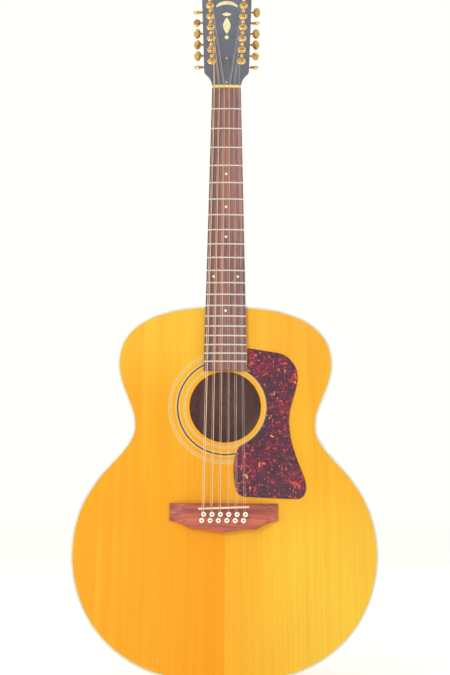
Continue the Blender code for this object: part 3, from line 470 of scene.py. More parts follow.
mapleFinish = {
    "dark": (0.42, 0.155, 0.028), "amber": (0.66, 0.29, 0.062), "light": (0.80, 0.42, 0.11), "pale": (0.88, 0.52, 0.17),
    "pore": (0.40, 0.15, 0.03), "cloud": (0.72, 0.34, 0.07),
    "rimFlame": (75, 6, 75), "rimGrain": (60, 900, 60), "backFlame": (14, 14, 85), "backGrain": (700, 40, 14),
}


def makeMaple(name, part):
    # flamed maple under amber lacquer: soft bands across the grain and fine pores along it
    material, tree, shader, place = newMaterial(name, Roughness=0.30, Coat_Weight=0.6, Coat_Roughness=0.08)
    s = mapleFinish
    flame = noise(tree, stretched(tree, swirled(tree, place, 7.0, 2.0, 0.035), s[part + "Flame"]), 1.0, 2, 0.5)
    grain = noise(tree, stretched(tree, place, s[part + "Grain"]), 1.0, 3, 0.6)
    clouds = noise(tree, place, 9.0, 2)
    tone = ramp(tree, flame, (0.32, s["dark"]), (0.46, s["amber"]), (0.58, s["light"]), (0.72, s["pale"]))
    tone = veil(tree, tone, grain, 0.56, 0.42, 0.22, s["pore"])
    tone = mixed(tree, maths(tree, "MULTIPLY", clouds, 0.25), tone, s["cloud"])
    dress(tree, shader, tone, grain, 0.02, 0.4)
    return material


def makeGrained(name, light, dark, scale, roughness, streak=0.6, bump=0.03, coat=0.0, contrast=0.09):
    # an open-grained wood; `scale` is small along the grain and large across it
    material, tree, shader, place = newMaterial(name, Roughness=roughness, Coat_Weight=coat, Coat_Roughness=0.15)
    broad = noise(tree, stretched(tree, place, tuple(s * 0.16 for s in scale)), 1.0, 4, 0.6, 0.5)
    fine = noise(tree, stretched(tree, place, scale), 1.0, 4, 0.65)
    pores = noise(tree, stretched(tree, place, tuple(s * 2.4 for s in scale), (1.7, 0.4, 2.2)), 1.0, 2, 0.7)
    middle = tuple((a + b) / 2 for a, b in zip(light, dark))
    tone = ramp(tree, broad, (0.5 - 2 * contrast, dark), (0.5, middle), (0.5 + 2 * contrast, light))
    tone = veil(tree, tone, fine, 0.58, 0.36, streak, dark)
    tone = veil(tree, tone, pores, 0.42, 0.34, 0.7, tuple(c * 0.45 for c in dark))
    varyRoughness(tree, shader, fine, roughness - 0.08, roughness + 0.12)
    dress(tree, shader, tone, mixed(tree, 0.5, fine, pores), bump, 0.6)
    return material


tortoiseFinish = {
    "plum": ((0.35, (0.050, 0.028, 0.046)), (0.55, (0.078, 0.031, 0.052)), (0.72, (0.125, 0.030, 0.052))),
    "haze": (0.30, 0.030, 0.055),
    "red": ((0.2, (0.40, 0.028, 0.055)), (0.5, (0.62, 0.045, 0.060)), (0.9, (0.78, 0.095, 0.065))),
    "amber": ((0.2, (0.80, 0.13, 0.06)), (0.5, (0.90, 0.28, 0.07)), (0.9, (0.95, 0.50, 0.14))),
    "flecks": ((400.0, 0.62, 1.04, "red"), (260.0, 0.50, 1.17, "red"), (190.0, 0.44, 1.26, "amber")),
}


def makeTortoise():
    # dark plum celluloid: a red haze and crimson flecks that gather in places, a few amber ones
    material, tree, shader, place = newMaterial("tortoiseCelluloid", Roughness=0.26, Coat_Weight=0.12,
                                                Coat_Roughness=0.05, Specular_IOR_Level=0.22)
    s = tortoiseFinish
    bent = swirled(tree, place, 170.0, 3.0, 0.014)
    crowd = noise(tree, place, 26.0, 2, 0.45)
    clouds = noise(tree, bent, 95.0, 3, 0.6)
    mottling = noise(tree, stretched(tree, bent, (1.0, 1, 0.75)), 360.0, 3, 0.66)
    crowded = maths(tree, "ADD", mottling, maths(tree, "MULTIPLY", maths(tree, "SUBTRACT", crowd, 0.5), 0.55))
    tone = veil(tree, ramp(tree, clouds, *s["plum"]), crowded, 0.54, 0.68, 0.75, s["haze"])
    for scale, reach, least, colours in s["flecks"]:
        cells = addNode(tree, "ShaderNodeTexVoronoi", {"Vector": stretched(tree, bent, (1.0, 1, 0.7)), "Scale": scale})
        chosen = addNode(tree, "ShaderNodeSeparateColor", {0: cells.outputs["Color"]}).outputs
        inside = maths(tree, "LESS_THAN", cells.outputs["Distance"], maths(tree, "MULTIPLY", chosen[1], reach))
        rare = maths(tree, "GREATER_THAN", maths(tree, "ADD", chosen[0], crowd), least)
        tone = mixed(tree, maths(tree, "MULTIPLY", inside, rare), tone, ramp(tree, chosen[2], *s[colours]))
    dress(tree, shader, tone, crowd, 0.05, 0.3)
    return material


def makeGold(name, paintedCheekShade=False):
    # worn gold plate: warm and paler patches, faint brushed haze; the buttons' cheeks get painted shade, a dark
    # reflection painted into their colour
    material, tree, shader, place = newMaterial(name, Metallic=1.0, Roughness=0.24)
    wear = noise(tree, place, 260.0, 4, 0.6)
    haze = noise(tree, stretched(tree, place, (900, 900, 120)), 1.0, 2)
    tone = ramp(tree, wear, (0.30, (0.80, 0.44, 0.12)), (0.50, (0.98, 0.68, 0.26)), (0.72, (1.0, 0.84, 0.52)))
    if paintedCheekShade:
        # painted shade: the buttons' flat cheeks darken towards their middle, a painted dark reflection
        cheekShade = addNode(tree, "ShaderNodeAttribute", attribute_name="cheekShade").outputs["Fac"]
        tone = veil(tree, tone, cheekShade, 0.0, 0.22, 0.9, (0.46, 0.31, 0.11))
    varyRoughness(tree, shader, haze, 0.16, 0.38)
    dress(tree, shader, tone, wear, 0.02, 0.3)
    return material


def makeMottled(name, light, dark, scale, roughness, bump=0.01, coat=0.0, metallic=0.0, stretch=(1, 1, 1)):
    # plastics, bone and lacquer: two close tones in soft clouds with fine specks
    material, tree, shader, place = newMaterial(name, Roughness=roughness, Coat_Weight=coat,
                                                Coat_Roughness=0.08, Metallic=metallic)
    clouds = noise(tree, stretched(tree, place, stretch), scale, 4, 0.6)
    specks = noise(tree, stretched(tree, place, stretch, (0.3, 0.1, 0.7)), scale * 9, 2, 0.7)
    tone = veil(tree, ramp(tree, clouds, (0.35, dark), (0.65, light)), specks, 0.58, 0.72, 0.35,
                tuple(c * 0.75 for c in dark))
    varyRoughness(tree, shader, clouds, roughness * 0.8, roughness * 1.25)
    dress(tree, shader, tone, specks, bump, 0.4)
    return material


def makePearl(name, whiter):
    # mother of pearl: layered drifts of cream, rose and green
    material, tree, shader, place = newMaterial(name, Roughness=0.2, Coat_Weight=0.5, Coat_Roughness=0.05)
    layers = noise(tree, stretched(tree, place, (90, 90, 260), turn=(0, 0.5, 0)), 1.0, 3, 0.55, 1.2)
    fire = noise(tree, place, 420.0, 2)
    tone = ramp(tree, layers, (0.30, (0.58, 0.50, 0.22)), (0.45, (0.86, 0.74, 0.34)), (0.58, (0.92, 0.82, 0.46)),
                (0.72, (0.70, 0.70, 0.40)))
    tone = mixed(tree, maths(tree, "MULTIPLY", fire, 0.3), tone, (0.96, 0.76, 0.62))
    dress(tree, shader, mixed(tree, whiter, tone, (0.90, 0.86, 0.82)), layers, 0.02, 0.3)
    return material


def makeString(name, light, dark, pitch, depth):
    # a drawn or wound string: the winding runs round it, so its height follows the length, and so does its colour,
    # which darkens in bands of painted shade between the turns
    material, tree, shader, place = newMaterial(name, Metallic=0.75, Roughness=0.32)
    along = addNode(tree, "ShaderNodeUVMap", uv_map="along").outputs[0]
    turns = addNode(tree, "ShaderNodeTexWave", {"Vector": along, "Scale": 2 * math.pi / (20 * pitch)},
                    wave_type="BANDS", bands_direction="X").outputs["Fac"]
    tarnish = noise(tree, stretched(tree, place, (200, 200, 18)), 1.0, 3)
    # painted shade: the colour darkens in the grooves between the winding's turns
    tone = mixed(tree, maths(tree, "MULTIPLY", turns, 0.3), ramp(tree, tarnish, (0.3, dark), (0.7, light)),
                 tuple(c * 0.6 for c in dark))
    varyRoughness(tree, shader, tarnish, 0.22, 0.45)
    dress(tree, shader, tone, turns, depth, 0.8)
    return material


spruce = makeSpruce()
mapleRim = makeMaple("flamedMapleRim", "rim")
mapleBack = makeMaple("flamedMapleBack", "back")
bindingCream = makeMottled("agedBinding", (0.80, 0.76, 0.58), (0.70, 0.67, 0.50), 70, 0.35, coat=0.3)
lineBlack = makeMottled("purflingBlack", (0.05, 0.06, 0.07), (0.03, 0.04, 0.05), 200, 0.4)
lineBrown = makeMottled("purflingBrown", (0.36, 0.26, 0.10), (0.28, 0.20, 0.08), 200, 0.4)
lineTeal = makeMottled("rosetteDark", (0.020, 0.070, 0.085), (0.014, 0.045, 0.055), 200, 0.4)
linePale = makeMottled("rosettePale", (0.66, 0.59, 0.27), (0.56, 0.49, 0.21), 200, 0.45)
bridgeWood = makeGrained("bridgeRosewood", (0.60, 0.140, 0.078), (0.24, 0.046, 0.034), (14, 200, 230), 0.42,
                         streak=0.55, coat=0.05, contrast=0.06)
boardWood = makeGrained("boardRosewood", (0.45, 0.175, 0.135), (0.115, 0.068, 0.074), (420, 260, 9), 0.45,
                        contrast=0.055)
neckWood = makeGrained("neckMahogany", (0.42, 0.15, 0.055), (0.25, 0.075, 0.03), (300, 300, 14), 0.28, 0.4, 0.02, 0.5)
blockWood = makeGrained("blockMahogany", (0.42, 0.20, 0.10), (0.28, 0.12, 0.06), (300, 300, 20), 0.6, 0.4, 0.04)
insideMaple = makeGrained("insideMaple", (0.68, 0.36, 0.34), (0.48, 0.25, 0.235), (340, 340, 16), 0.6, 0.4, 0.03)
insideSpruce = makeGrained("braceSpruce", (0.78, 0.56, 0.30), (0.60, 0.38, 0.17), (420, 420, 18), 0.6, 0.35, 0.04)
liningWood = makeGrained("liningBasswood", (0.66, 0.44, 0.22), (0.50, 0.30, 0.13), (160, 500, 160), 0.65, 0.35, 0.04)
blackLacquer = makeMottled("blackLacquer", (0.125, 0.135, 0.175), (0.090, 0.100, 0.135), 25, 0.16, coat=0.6)
tortoise = makeTortoise()
bone = makeMottled("oldBone", (0.97, 0.74, 0.32), (0.90, 0.64, 0.23), 140, 0.35, bump=0.02, stretch=(0.3, 1, 1))
saddleBone = makeMottled("saddleBone", (0.92, 0.76, 0.50), (0.82, 0.62, 0.36), 140, 0.35, bump=0.02)
pinPlastic = makeMottled("pinPlastic", (0.92, 0.90, 0.82), (0.82, 0.79, 0.68), 200, 0.25, coat=0.4)
gold = makeGold("wornGold")
# gold for the tuning buttons, with painted shade on their flat cheeks
buttonGold = makeGold("buttonGold", True)
pearl = makePearl("yellowPearl", 0.0)
dotPearl = makePearl("whitePearl", 0.7)
print("finishes made")


# body

bodyShape = {
    "length": 527 * mm, "upperHalf": 158.4 * mm, "waistHalf": 132.2 * mm, "lowerHalf": 214.4 * mm,
    "upperAt": 85.2 * mm, "waistAt": 180.3 * mm, "lowerAt": 356.2 * mm,
    "flankSlope": math.radians(37.2), "shoulderFlat": 30 * mm,
    "depthAtNeck": 98 * mm, "depthAtTail": 120 * mm, "backArch": 13 * mm,
    "topThick": 3 * mm, "backThick": 3 * mm, "sideThick": 2.4 * mm,
    "bindingWidth": 2.2 * mm, "bindingHeight": 6 * mm, "bindingRound": 0.7 * mm, "fineness": 4,
    "stripHalf": 1.6 * mm, "inlayProud": 0.04 * mm,
}
handles = {                                # the outline's curve handles, as shares of the stretch they belong to
    "shoulder": 0.175, "upperIn": 0.933, "upperOut": 0.403, "waistIn": 0.339, "waistOut": 0.143,
    "hipAcross": 0.57, "hipDown": 0.4, "hipIn": 0.16, "hipOut": 0.283, "lowerIn": 0.19, "lowerOut": 0.26, "tail": 0.874,
}
bindingLow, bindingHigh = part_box("binding_front")
bodyTop, bodyBottom = bindingHigh.z, bindingLow.z


def halfOutline():
    s, h = bodyShape, handles
    detail = s["fineness"]
    upper = (s["upperHalf"], bodyTop - s["upperAt"])
    waist = (s["waistHalf"], bodyTop - s["waistAt"])
    lower = (s["lowerHalf"], bodyTop - s["lowerAt"])
    neckRun, hipDrop, tailRun = s["waistAt"] - s["upperAt"], s["lowerAt"] - s["waistAt"], s["length"] - s["lowerAt"]
    hip = (s["waistHalf"] + h["hipAcross"] * (s["lowerHalf"] - s["waistHalf"]), waist[1] - h["hipDown"] * hipDrop)
    lean = Vector((math.sin(s["flankSlope"]), -math.cos(s["flankSlope"]))) * hipDrop
    flat = s["shoulderFlat"]
    points = [(0.0, bodyTop), (flat * 0.5, bodyTop)]
    points += bezier((flat, bodyTop), (flat + h["shoulder"] * (s["upperHalf"] - flat), bodyTop),
                     (upper[0], upper[1] + h["upperIn"] * s["upperAt"]), upper, 10 * detail)
    points += bezier(upper, (upper[0], upper[1] - h["upperOut"] * neckRun),
                     (waist[0], waist[1] + h["waistIn"] * neckRun), waist, 6 * detail, first=False)
    points += bezier(waist, (waist[0], waist[1] - h["waistOut"] * hipDrop), Vector(hip) - h["hipIn"] * lean, hip,
                     5 * detail, first=False)
    points += bezier(hip, Vector(hip) + h["hipOut"] * lean, (lower[0], lower[1] + h["lowerIn"] * hipDrop), lower,
                     5 * detail, first=False)
    points += bezier(lower, (lower[0], lower[1] - h["lowerOut"] * tailRun), (h["tail"] * s["lowerHalf"], bodyBottom),
                     (0.0, bodyBottom), 13 * detail, first=False)
    return points


def rimDepth(z):
    share = (bodyTop - z) / bodyShape["length"]
    return bodyShape["depthAtNeck"] + (bodyShape["depthAtTail"] - bodyShape["depthAtNeck"]) * share


outline = mirrorHalf(halfOutline())
holeBox = frame["record"]["physics"]["openings"][0]["box_m"]
holeZ = (holeBox[0][2] + holeBox[1][2]) / 2
holeRadius = 52 * mm


def rimBand(name, section, material, smoothAngle=50):
    # a closed band round the outline; each corner of its section is (inset, y or a function of z)
    rings = []
    for distance, y in section:
        row = inset(outline, distance) if distance else outline
        rings.append([(x, y(z) if callable(y) else y, z) for x, z in row])
    mesh = meshFrom(name, skin(bmesh.new(), rings, closed=True))
    return addObject(name, mesh, material, smoothAngle)


def makeSoundboard():
    s = bodyShape
    hole = list(reversed(circle(0, holeZ, holeRadius, 128)))
    mesh = plate("spruceTop", inset(outline, s["bindingWidth"] + 0.05 * mm), 0.0, s["topThick"], hole, 0.0)
    finishPiece(addObject("spruceTop", mesh, spruce, 30), "guitar", "spruce_top", "soundboard")
    lines = {"topLineDark": (0.05, 0.25, lineBrown), "topLinePale": (0.3, 1.0, bindingCream),
             "topLineInner": (1.05, 1.3, lineBrown)}     # from the binding, in millimetres
    for name, (start, end, material) in lines.items():
        near, far = s["bindingWidth"] + start * mm, s["bindingWidth"] + end * mm
        band = rimBand(name, [(near, 0.5 * mm), (near, -0.03 * mm), (far, -0.03 * mm), (far, 0.5 * mm)], material)
        finishPiece(band, "guitar", "cream_binding")


def makeRims():
    s = bodyShape
    w, h, r, t = s["bindingWidth"], s["bindingHeight"], s["bindingRound"], s["sideThick"]
    front = [(w, 0.0), (r, 0.0), (0.29 * r, 0.29 * r), (0, r), (0, h), (w, h)]
    finishPiece(rimBand("bindingFrontFine", front, bindingCream), "guitar", "cream_binding", "binding_front")
    back = [(distance, lambda z, depth=depth: rimDepth(z) - depth) for distance, depth in front]
    finishPiece(rimBand("bindingBackFine", back, bindingCream), "guitar", "cream_binding", "binding_back")
    steps = 6

    def level(share):
        return lambda z: h + 0.05 * mm + (rimDepth(z) - 2 * h - 0.1 * mm) * share

    section = [(0.05 * mm, level(i / steps)) for i in range(steps + 1)]
    section += [(t, level(1 - i / steps)) for i in range(steps + 1)]
    sides = rimBand("mapleSides", section, mapleRim)
    middle = Vector((0, 0, bodyTop - 0.5 * s["length"]))
    inner = inset(outline, t / 2)
    tree = mathutils.kdtree.KDTree(len(inner))
    for i, (x, z) in enumerate(inner):
        tree.insert((x, 0, z), i)
    tree.balance()

    def facesIn(centre, normal):
        level = Vector((centre.x, 0, centre.z))
        across = Vector((normal.x, 0, normal.z))
        inward = (level - tree.find(level)[0]).dot(across) > 0 and (middle - level).dot(normal) > 0
        return abs(normal.y) < 0.5 and inward

    paintFaces(sides, insideMaple, facesIn)
    finishPiece(sides, "guitar", "maple_body", "side_bass", "side_treble")
    for name, edgeAt in (("sideLineFront", lambda z: h), ("sideLineBack", lambda z: rimDepth(z) - h)):
        corners = ((0.02, -0.35), (0.02, 0.35), (1.2, 0.35), (1.2, -0.35))   # in, and from the binding's edge, mm
        section = [(a * mm, lambda z, b=b: edgeAt(z) + b * mm) for a, b in corners]
        finishPiece(rimBand(name, section, lineBlack), "guitar", "cream_binding")


def makeBack():
    # an arched plate: the outline drawn in ring by ring, rising towards the middle
    s = bodyShape
    rim = inset(outline, s["bindingWidth"] + 0.05 * mm)
    centre = bodyTop - 0.46 * s["length"]
    shares = [1 - i / 22 for i in range(22)]

    def ring(share, lift):
        points = []
        for x, z in rim:
            px, pz = x * share, centre + (z - centre) * share
            points.append((px, rimDepth(pz) + s["backArch"] * (1 - share ** 2) + lift, pz))
        return points

    rings = [ring(share, 0.0) for share in reversed(shares)] + [ring(share, -s["backThick"]) for share in shares]
    mesh = meshFrom("mapleBack", skin(bmesh.new(), rings))
    plateObject = addObject("mapleBack", mesh, mapleBack, 40)
    paintFaces(plateObject, insideMaple, lambda centre, normal: normal.y < -0.2)
    finishPiece(plateObject, "guitar", "maple_body", "back")
    rings = []
    for i in range(60):
        z = bodyTop - 4 * mm - (s["length"] - 8 * mm) * i / 59
        share = abs(z - centre) / (bodyTop - centre if z > centre else centre - bodyBottom)
        y = rimDepth(z) + s["backArch"] * (1 - share ** 2)
        rings.append([(side * s["stripHalf"], y + rise, z) for side, rise in (
            (-1, s["inlayProud"]), (1, s["inlayProud"]), (1, -0.5 * mm), (-1, -0.5 * mm))])
    strip = addObject("backStrip", meshFrom("backStrip", skin(bmesh.new(), rings)), bridgeWood)
    finishPiece(strip, "guitar", "rosewood")


def makeRosette():
    # thin rings let into the top, radii in millimetres: inner pair, dark line between two pale ones, outer pair
    rings = {"rosetteInnerA": (57.2, 58.6, linePale), "rosetteInnerB": (59.8, 60.8, linePale),
             "rosetteMidPaleA": (66.0, 67.2, linePale), "rosetteMidDark": (68.1, 70.1, lineTeal),
             "rosetteMidPaleB": (70.9, 72.1, linePale), "rosetteOuterA": (77.8, 79.1, linePale),
             "rosetteOuterB": (81.0, 82.5, linePale)}
    for name, (inner, outer, material) in rings.items():
        section = inMm((inner, 0.5), (inner, -0.04), (outer, -0.04), (outer, 0.5))
        rows = [[(x, y, z) for x, z in circle(0, holeZ, radius, 144)] for radius, y in section]
        mesh = meshFrom(name, skin(bmesh.new(), rows, closed=True))
        finishPiece(addObject(name, mesh, material, 40), "guitar", "cream_binding")


def makeInside():
    for node, material, slot in (("top_braces", insideSpruce, "inner_wood"), ("neck_block", blockWood, "mahogany"),
                                 ("tail_block", blockWood, "mahogany")):
        softCopy(node + "Wood", node, 0.8 * mm, material, slot)


makeSoundboard()
makeRims()
makeBack()
makeRosette()
makeInside()
print("body made")


# geometry node tools

def newTree(name, sockets):
    tree = bpy.data.node_groups.new(name, "GeometryNodeTree")
    tree.interface.new_socket("Geometry", in_out="INPUT", socket_type="NodeSocketGeometry")
    for label, kind, value in sockets:
        socket = tree.interface.new_socket(label, in_out="INPUT", socket_type="NodeSocket" + kind)
        if value is not None:
            socket.default_value = value
    tree.interface.new_socket("Geometry", in_out="OUTPUT", socket_type="NodeSocketGeometry")
    return tree, tree.nodes.new("NodeGroupInput").outputs, tree.nodes.new("NodeGroupOutput")


def closeTree(tree, output, geometry, material):
    realized = addNode(tree, "GeometryNodeRealizeInstances", {0: geometry}).outputs[0]
    coloured = addNode(tree, "GeometryNodeSetMaterial", {"Geometry": realized, "Material": material}).outputs[0]
    tree.links.new(coloured, output.inputs[0])


def grow(name, startMesh, tree, values, smoothAngle=None):
    # runs a node tree on a mesh and keeps the plain result
    seed = bpy.data.objects.new(name + "Seed", startMesh)
    bpy.context.scene.collection.objects.link(seed)
    modifier = seed.modifiers.new("grow", "NODES")
    modifier.node_group = tree
    for item in tree.interface.items_tree:
        if item.in_out == "INPUT" and item.name in values:
            modifier[item.identifier] = values[item.name]
    bpy.context.view_layer.update()
    mesh = bpy.data.meshes.new_from_object(seed.evaluated_get(bpy.context.evaluated_depsgraph_get()))
    bpy.data.objects.remove(seed)
    mesh.name = name
    return addObject(name, mesh, None, smoothAngle)


def pointMesh(name, points, edges=()):
    mesh = bpy.data.meshes.new(name)
    mesh.from_pydata([tuple(p) for p in points], list(edges), [])
    return mesh


def copiesTree():
    # copies of one part on points, all turned the same way
    tree, given, output = newTree("copiesOnPoints", [("part", "Object", None), ("turn", "Vector", (0, 0, 0)),
                                                     ("size", "Float", 1.0), ("finish", "Material", None)])
    part = addNode(tree, "GeometryNodeObjectInfo", {"Object": given["part"], "As Instance": True})
    points = addNode(tree, "GeometryNodeMeshToPoints", {"Mesh": given["Geometry"]}).outputs[0]
    turn = addNode(tree, "FunctionNodeEulerToRotation", {0: given["turn"]}).outputs[0]
    copies = addNode(tree, "GeometryNodeInstanceOnPoints", {"Points": points, "Instance": part.outputs["Geometry"],
                                                            "Rotation": turn, "Scale": given["size"]}).outputs[0]
    closeTree(tree, output, copies, given["finish"])
    return tree


onPoints = copiesTree()


def scatter(name, bm, points, turn, material, slot, smoothAngle=35):
    # one part from a bmesh, copied to every point
    part = addObject(name + "Part", meshFrom(name + "Part", bm), material)
    made = grow(name, pointMesh(name, points), onPoints,
                {"part": part, "turn": turn, "finish": material}, smoothAngle)
    bpy.data.objects.remove(part)
    finishPiece(made, "guitar", slot)


# kerfed linings

liningSizes = {"pitch": 6.0 * mm, "kerf": 1.2 * mm, "width": 6.0 * mm, "height": 14.0 * mm,
               "clearOfBlocks": 40 * mm}


def liningTree():
    tree, given, output = newTree("kerfedLining", [
        ("pitch", "Float", 0.006), ("block", "Vector", (0.004, 0.006, 0.014)), ("finish", "Material", None)])
    curve = addNode(tree, "GeometryNodeMeshToCurve", {"Mesh": given["Geometry"]}).outputs[0]
    spaced = addNode(tree, "GeometryNodeCurveToPoints", {"Curve": curve, "Length": given["pitch"]}, mode="LENGTH")
    block = addNode(tree, "GeometryNodeMeshCube", {"Size": given["block"]}).outputs["Mesh"]
    turn = addNode(tree, "FunctionNodeAlignEulerToVector", {"Vector": spaced.outputs["Tangent"]}, axis="X",
                   pivot_axis="Y").outputs[0]
    copies = addNode(tree, "GeometryNodeInstanceOnPoints", {"Points": spaced.outputs["Points"], "Instance": block,
                                                            "Rotation": turn}).outputs[0]
    closeTree(tree, output, copies, given["finish"])
    return tree


def makeLinings():
    tree = liningTree()
    near = max(bodyShape["sideThick"], bodyShape["bindingWidth"]) + gap + liningSizes["width"] / 2
    row = inset(outline, near)
    block = (liningSizes["pitch"] - liningSizes["kerf"], liningSizes["height"], liningSizes["width"])
    for sideName, sign in (("bass", -1), ("treble", 1)):
        for level in ("front", "back"):
            low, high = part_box(f"lining_{level}_{sideName}")
            points = []
            for x, z in row:
                if sign * x < liningSizes["clearOfBlocks"] or not low.z < z < high.z:
                    continue
                y = bodyShape["topThick"] + gap + liningSizes["height"] / 2
                if level == "back":
                    y = rimDepth(z) - bodyShape["backThick"] - gap - liningSizes["height"] / 2
                points.append((x, y, z))
            edges = [(i, i + 1) for i in range(len(points) - 1)]
            made = grow(f"kerfed_{level}_{sideName}", pointMesh("liningPath", points, edges), tree,
                        {"pitch": liningSizes["pitch"], "block": block, "finish": liningWood})
            finishPiece(made, "guitar", "inner_wood", f"lining_{level}_{sideName}")


makeLinings()
print("linings made")


# pickguard and bridge

def flatRow(node, yWanted):
    # the outer row of a flat CAD plate's corners at one y, in order round the plate
    mesh = nodes[node].data
    bm = bmesh.new()
    bm.from_mesh(mesh)
    bmesh.ops.remove_doubles(bm, verts=bm.verts, dist=1e-6)
    edges = {}
    for edge in bm.edges:
        a, b = edge.verts
        if abs(a.co.y - yWanted) < 1e-5 and abs(b.co.y - yWanted) < 1e-5:
            if any(abs(face.normal.y) < 0.5 for face in edge.link_faces):
                edges.setdefault(a.index, []).append(b.index)
                edges.setdefault(b.index, []).append(a.index)
    start = next(iter(edges))
    row, before, here = [start], None, start
    while True:
        following = [i for i in edges[here] if i != before]
        before, here = here, following[0]
        if here == start:
            break
        row.append(here)
    bm.verts.ensure_lookup_table()
    points = [(bm.verts[i].co.x, bm.verts[i].co.z) for i in row]
    bm.free()
    area = sum(a[0] * b[1] - b[0] * a[1] for a, b in zip(points, points[1:] + points[:1]))
    return points if area < 0 else points[::-1]


guardShape = {"crispWithin": 36 * mm, "longEdge": 4 * mm, "crisp": 1.2 * mm, "edge": 0.45 * mm}


def makePickguard():
    low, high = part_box("pickguard")
    row = []
    corners = flatRow("pickguard", low.y)
    for a, b in zip(corners, corners[1:] + corners[:1]):  # the corners beside the fretboard stay crisp
        a, b = Vector(a), Vector(b)
        row.append(tuple(a))
        length = (b - a).length
        if length > guardShape["longEdge"] and min(a.x, b.x) < guardShape["crispWithin"] and max(a.y, b.y) > holeZ:
            near = guardShape["crisp"] / length
            row += [tuple(a.lerp(b, near)), tuple(b.lerp(a, near))]
    mesh = plate("celluloidGuard", roundedLoop(row, 3), low.y, high.y, None, guardShape["edge"])
    finishPiece(addObject("celluloidGuard", mesh, tortoise, 30), "guitar", "tortoiseshell", "pickguard")


bridgeSizes = {
    "end": 24 * mm, "shoulder": 35 * mm, "belly": 39.2 * mm,              # along the strings
    "wingFrom": 0.6, "fallFrom": 0.64,                                    # shares of the half width
    "wing": 4 * mm, "edge": 1.6 * mm, "endRound": 1.2 * mm, "stations": 96,
}
bridgeLow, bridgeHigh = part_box("bridge")


def makeBridge():
    s = bridgeSizes
    middle, half, height = (bridgeLow.x + bridgeHigh.x) / 2, (bridgeHigh.x - bridgeLow.x) / 2, -bridgeLow.y
    r, z1 = s["edge"], bridgeHigh.z
    rings = []
    for i in range(s["stations"] + 1):
        across = 2 * i / s["stations"] - 1
        share = abs(across)
        if share > s["wingFrom"]:
            drop = s["end"] + (s["shoulder"] - s["end"]) * ((1 - share) / (1 - s["wingFrom"])) ** 1.6
        else:
            bell = ((1 + math.cos(math.pi * share / s["wingFrom"])) / 2) ** 1.4
            drop = s["shoulder"] + (s["belly"] - s["shoulder"]) * bell
        fall = min(1.0, max(0.0, (share - s["fallFrom"]) / (1 - s["fallFrom"])))
        top = -(height + (s["wing"] - height) * fall * fall * (3 - 2 * fall))
        ease = min(1.0, (1 - share) * half / s["endRound"])              # the ends round over as well
        top += (1 - math.sqrt(1 - (1 - ease) ** 2)) * s["endRound"]
        x, z0 = middle + across * half, z1 - drop
        ring = [(x, -gap, z0), (x, top + r, z0)]
        for step in range(1, 5):
            angle = math.pi / 2 * step / 4
            ring.append((x, top + r - r * math.sin(angle), z0 + r - r * math.cos(angle)))
        for step in range(0, 4):
            angle = math.pi / 2 * step / 4
            ring.append((x, top + r - r * math.cos(angle), z1 - r + r * math.sin(angle)))
        rings.append(ring + [(x, top + r, z1), (x, -gap, z1)])
    mesh = meshFrom("rosewoodBridge", skin(bmesh.new(), rings))
    finishPiece(addObject("rosewoodBridge", mesh, bridgeWood, 40), "guitar", "rosewood", "bridge")
    softCopy("boneSaddle", "saddle", 0.35 * mm, saddleBone, "bone")


makePickguard()
makeBridge()
print("bridge and pickguard made")


# strings' layout

stringLayout = {
    "nutSpread": 39.8 * mm, "saddleSpread": 58.1 * mm, "saddleShift": -1.5 * mm,
    "pairAtNut": 1.9 * mm, "pairAtSaddle": 2.5 * mm, "pinStagger": 2.7 * mm,
    "upperPins": 8.8 * mm, "lowerPins": 17.1 * mm,     # behind the saddle's middle
    "slant": 2.6 * mm, "wraps": 2.5, "sides": 10,
    "gauges": [(0.027, 0.047), (0.018, 0.039), (0.012, 0.030), (0.008, 0.023), (0.014, 0.014), (0.010, 0.010)],
    "woundFrom": 0.2 * mm,                             # radius
}
boardRadius = 304.8 * mm
saddleLow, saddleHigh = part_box("saddle")
saddleZ = (saddleLow.z + saddleHigh.z) / 2
saddleTop = saddleLow.y
nutLow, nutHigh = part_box("nut")
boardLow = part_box("fretboard")[0]
tunersPerSide = 6


def crownDrop(x):
    return boardRadius - math.sqrt(boardRadius ** 2 - x * x)


def stringRows():
    s = stringLayout
    rows = []
    for course, pair in enumerate(s["gauges"]):
        share = course / 5 - 0.5
        atNut, atSaddle = share * s["nutSpread"], share * s["saddleSpread"] + s["saddleShift"]
        for member, side in enumerate((-1, 1)):
            behind = s["lowerPins"] if member == 0 else s["upperPins"]
            rows.append({"course": course, "member": member, "radius": pair[member] * 12.7 * mm,
                         "nutX": atNut + side * s["pairAtNut"] / 2, "saddleX": atSaddle + side * s["pairAtSaddle"] / 2,
                         "pinX": atSaddle + side * s["pinStagger"] / 2, "pinZ": saddleZ - behind})
    return rows


strings = stringRows()


# bridge pins

pinSizes = {"head": 3.6, "collar": 2.2, "shank": 2.6, "underHead": 2.7, "rise": 5.0, "dot": 1.05}   # millimetres


def makePins():
    s = pinSizes
    head, collar, shank, under, rise, dot = (s[key] for key in ("head", "collar", "shank", "underHead", "rise", "dot"))
    profile = [(shank * 0.8, -12), (shank, 0.1), (collar + 0.5, 0.3), (collar, 0.8), (collar, under - 0.3),
               (head - 0.7, under), (head - 0.1, under + 0.5), (head, under + 0.9)]
    for i in range(1, 7):                                # the dome
        angle = math.pi / 2 * i / 6
        profile.append((head * math.cos(angle), under + 0.9 + (rise - under - 0.9) * math.sin(angle)))
    places = [(row["pinX"], bridgeLow.y, row["pinZ"]) for row in strings]
    facing = (math.pi / 2, 0, 0)                         # the part's +Z turns to -Y
    scatter("bridgePins", turned(bmesh.new(), inMm(*profile), 28), places, facing, pinPlastic, "bone")
    profile = [(dot, rise - 0.6), (dot, rise), (dot * 0.7, rise + 0.12), (0, rise + 0.16)]
    scatter("pinDots", turned(bmesh.new(), inMm(*profile), 20), places, facing, lineBlack, "black_face")


makePins()
print("bridge pins made")


# fretboard, frets, dots, nut

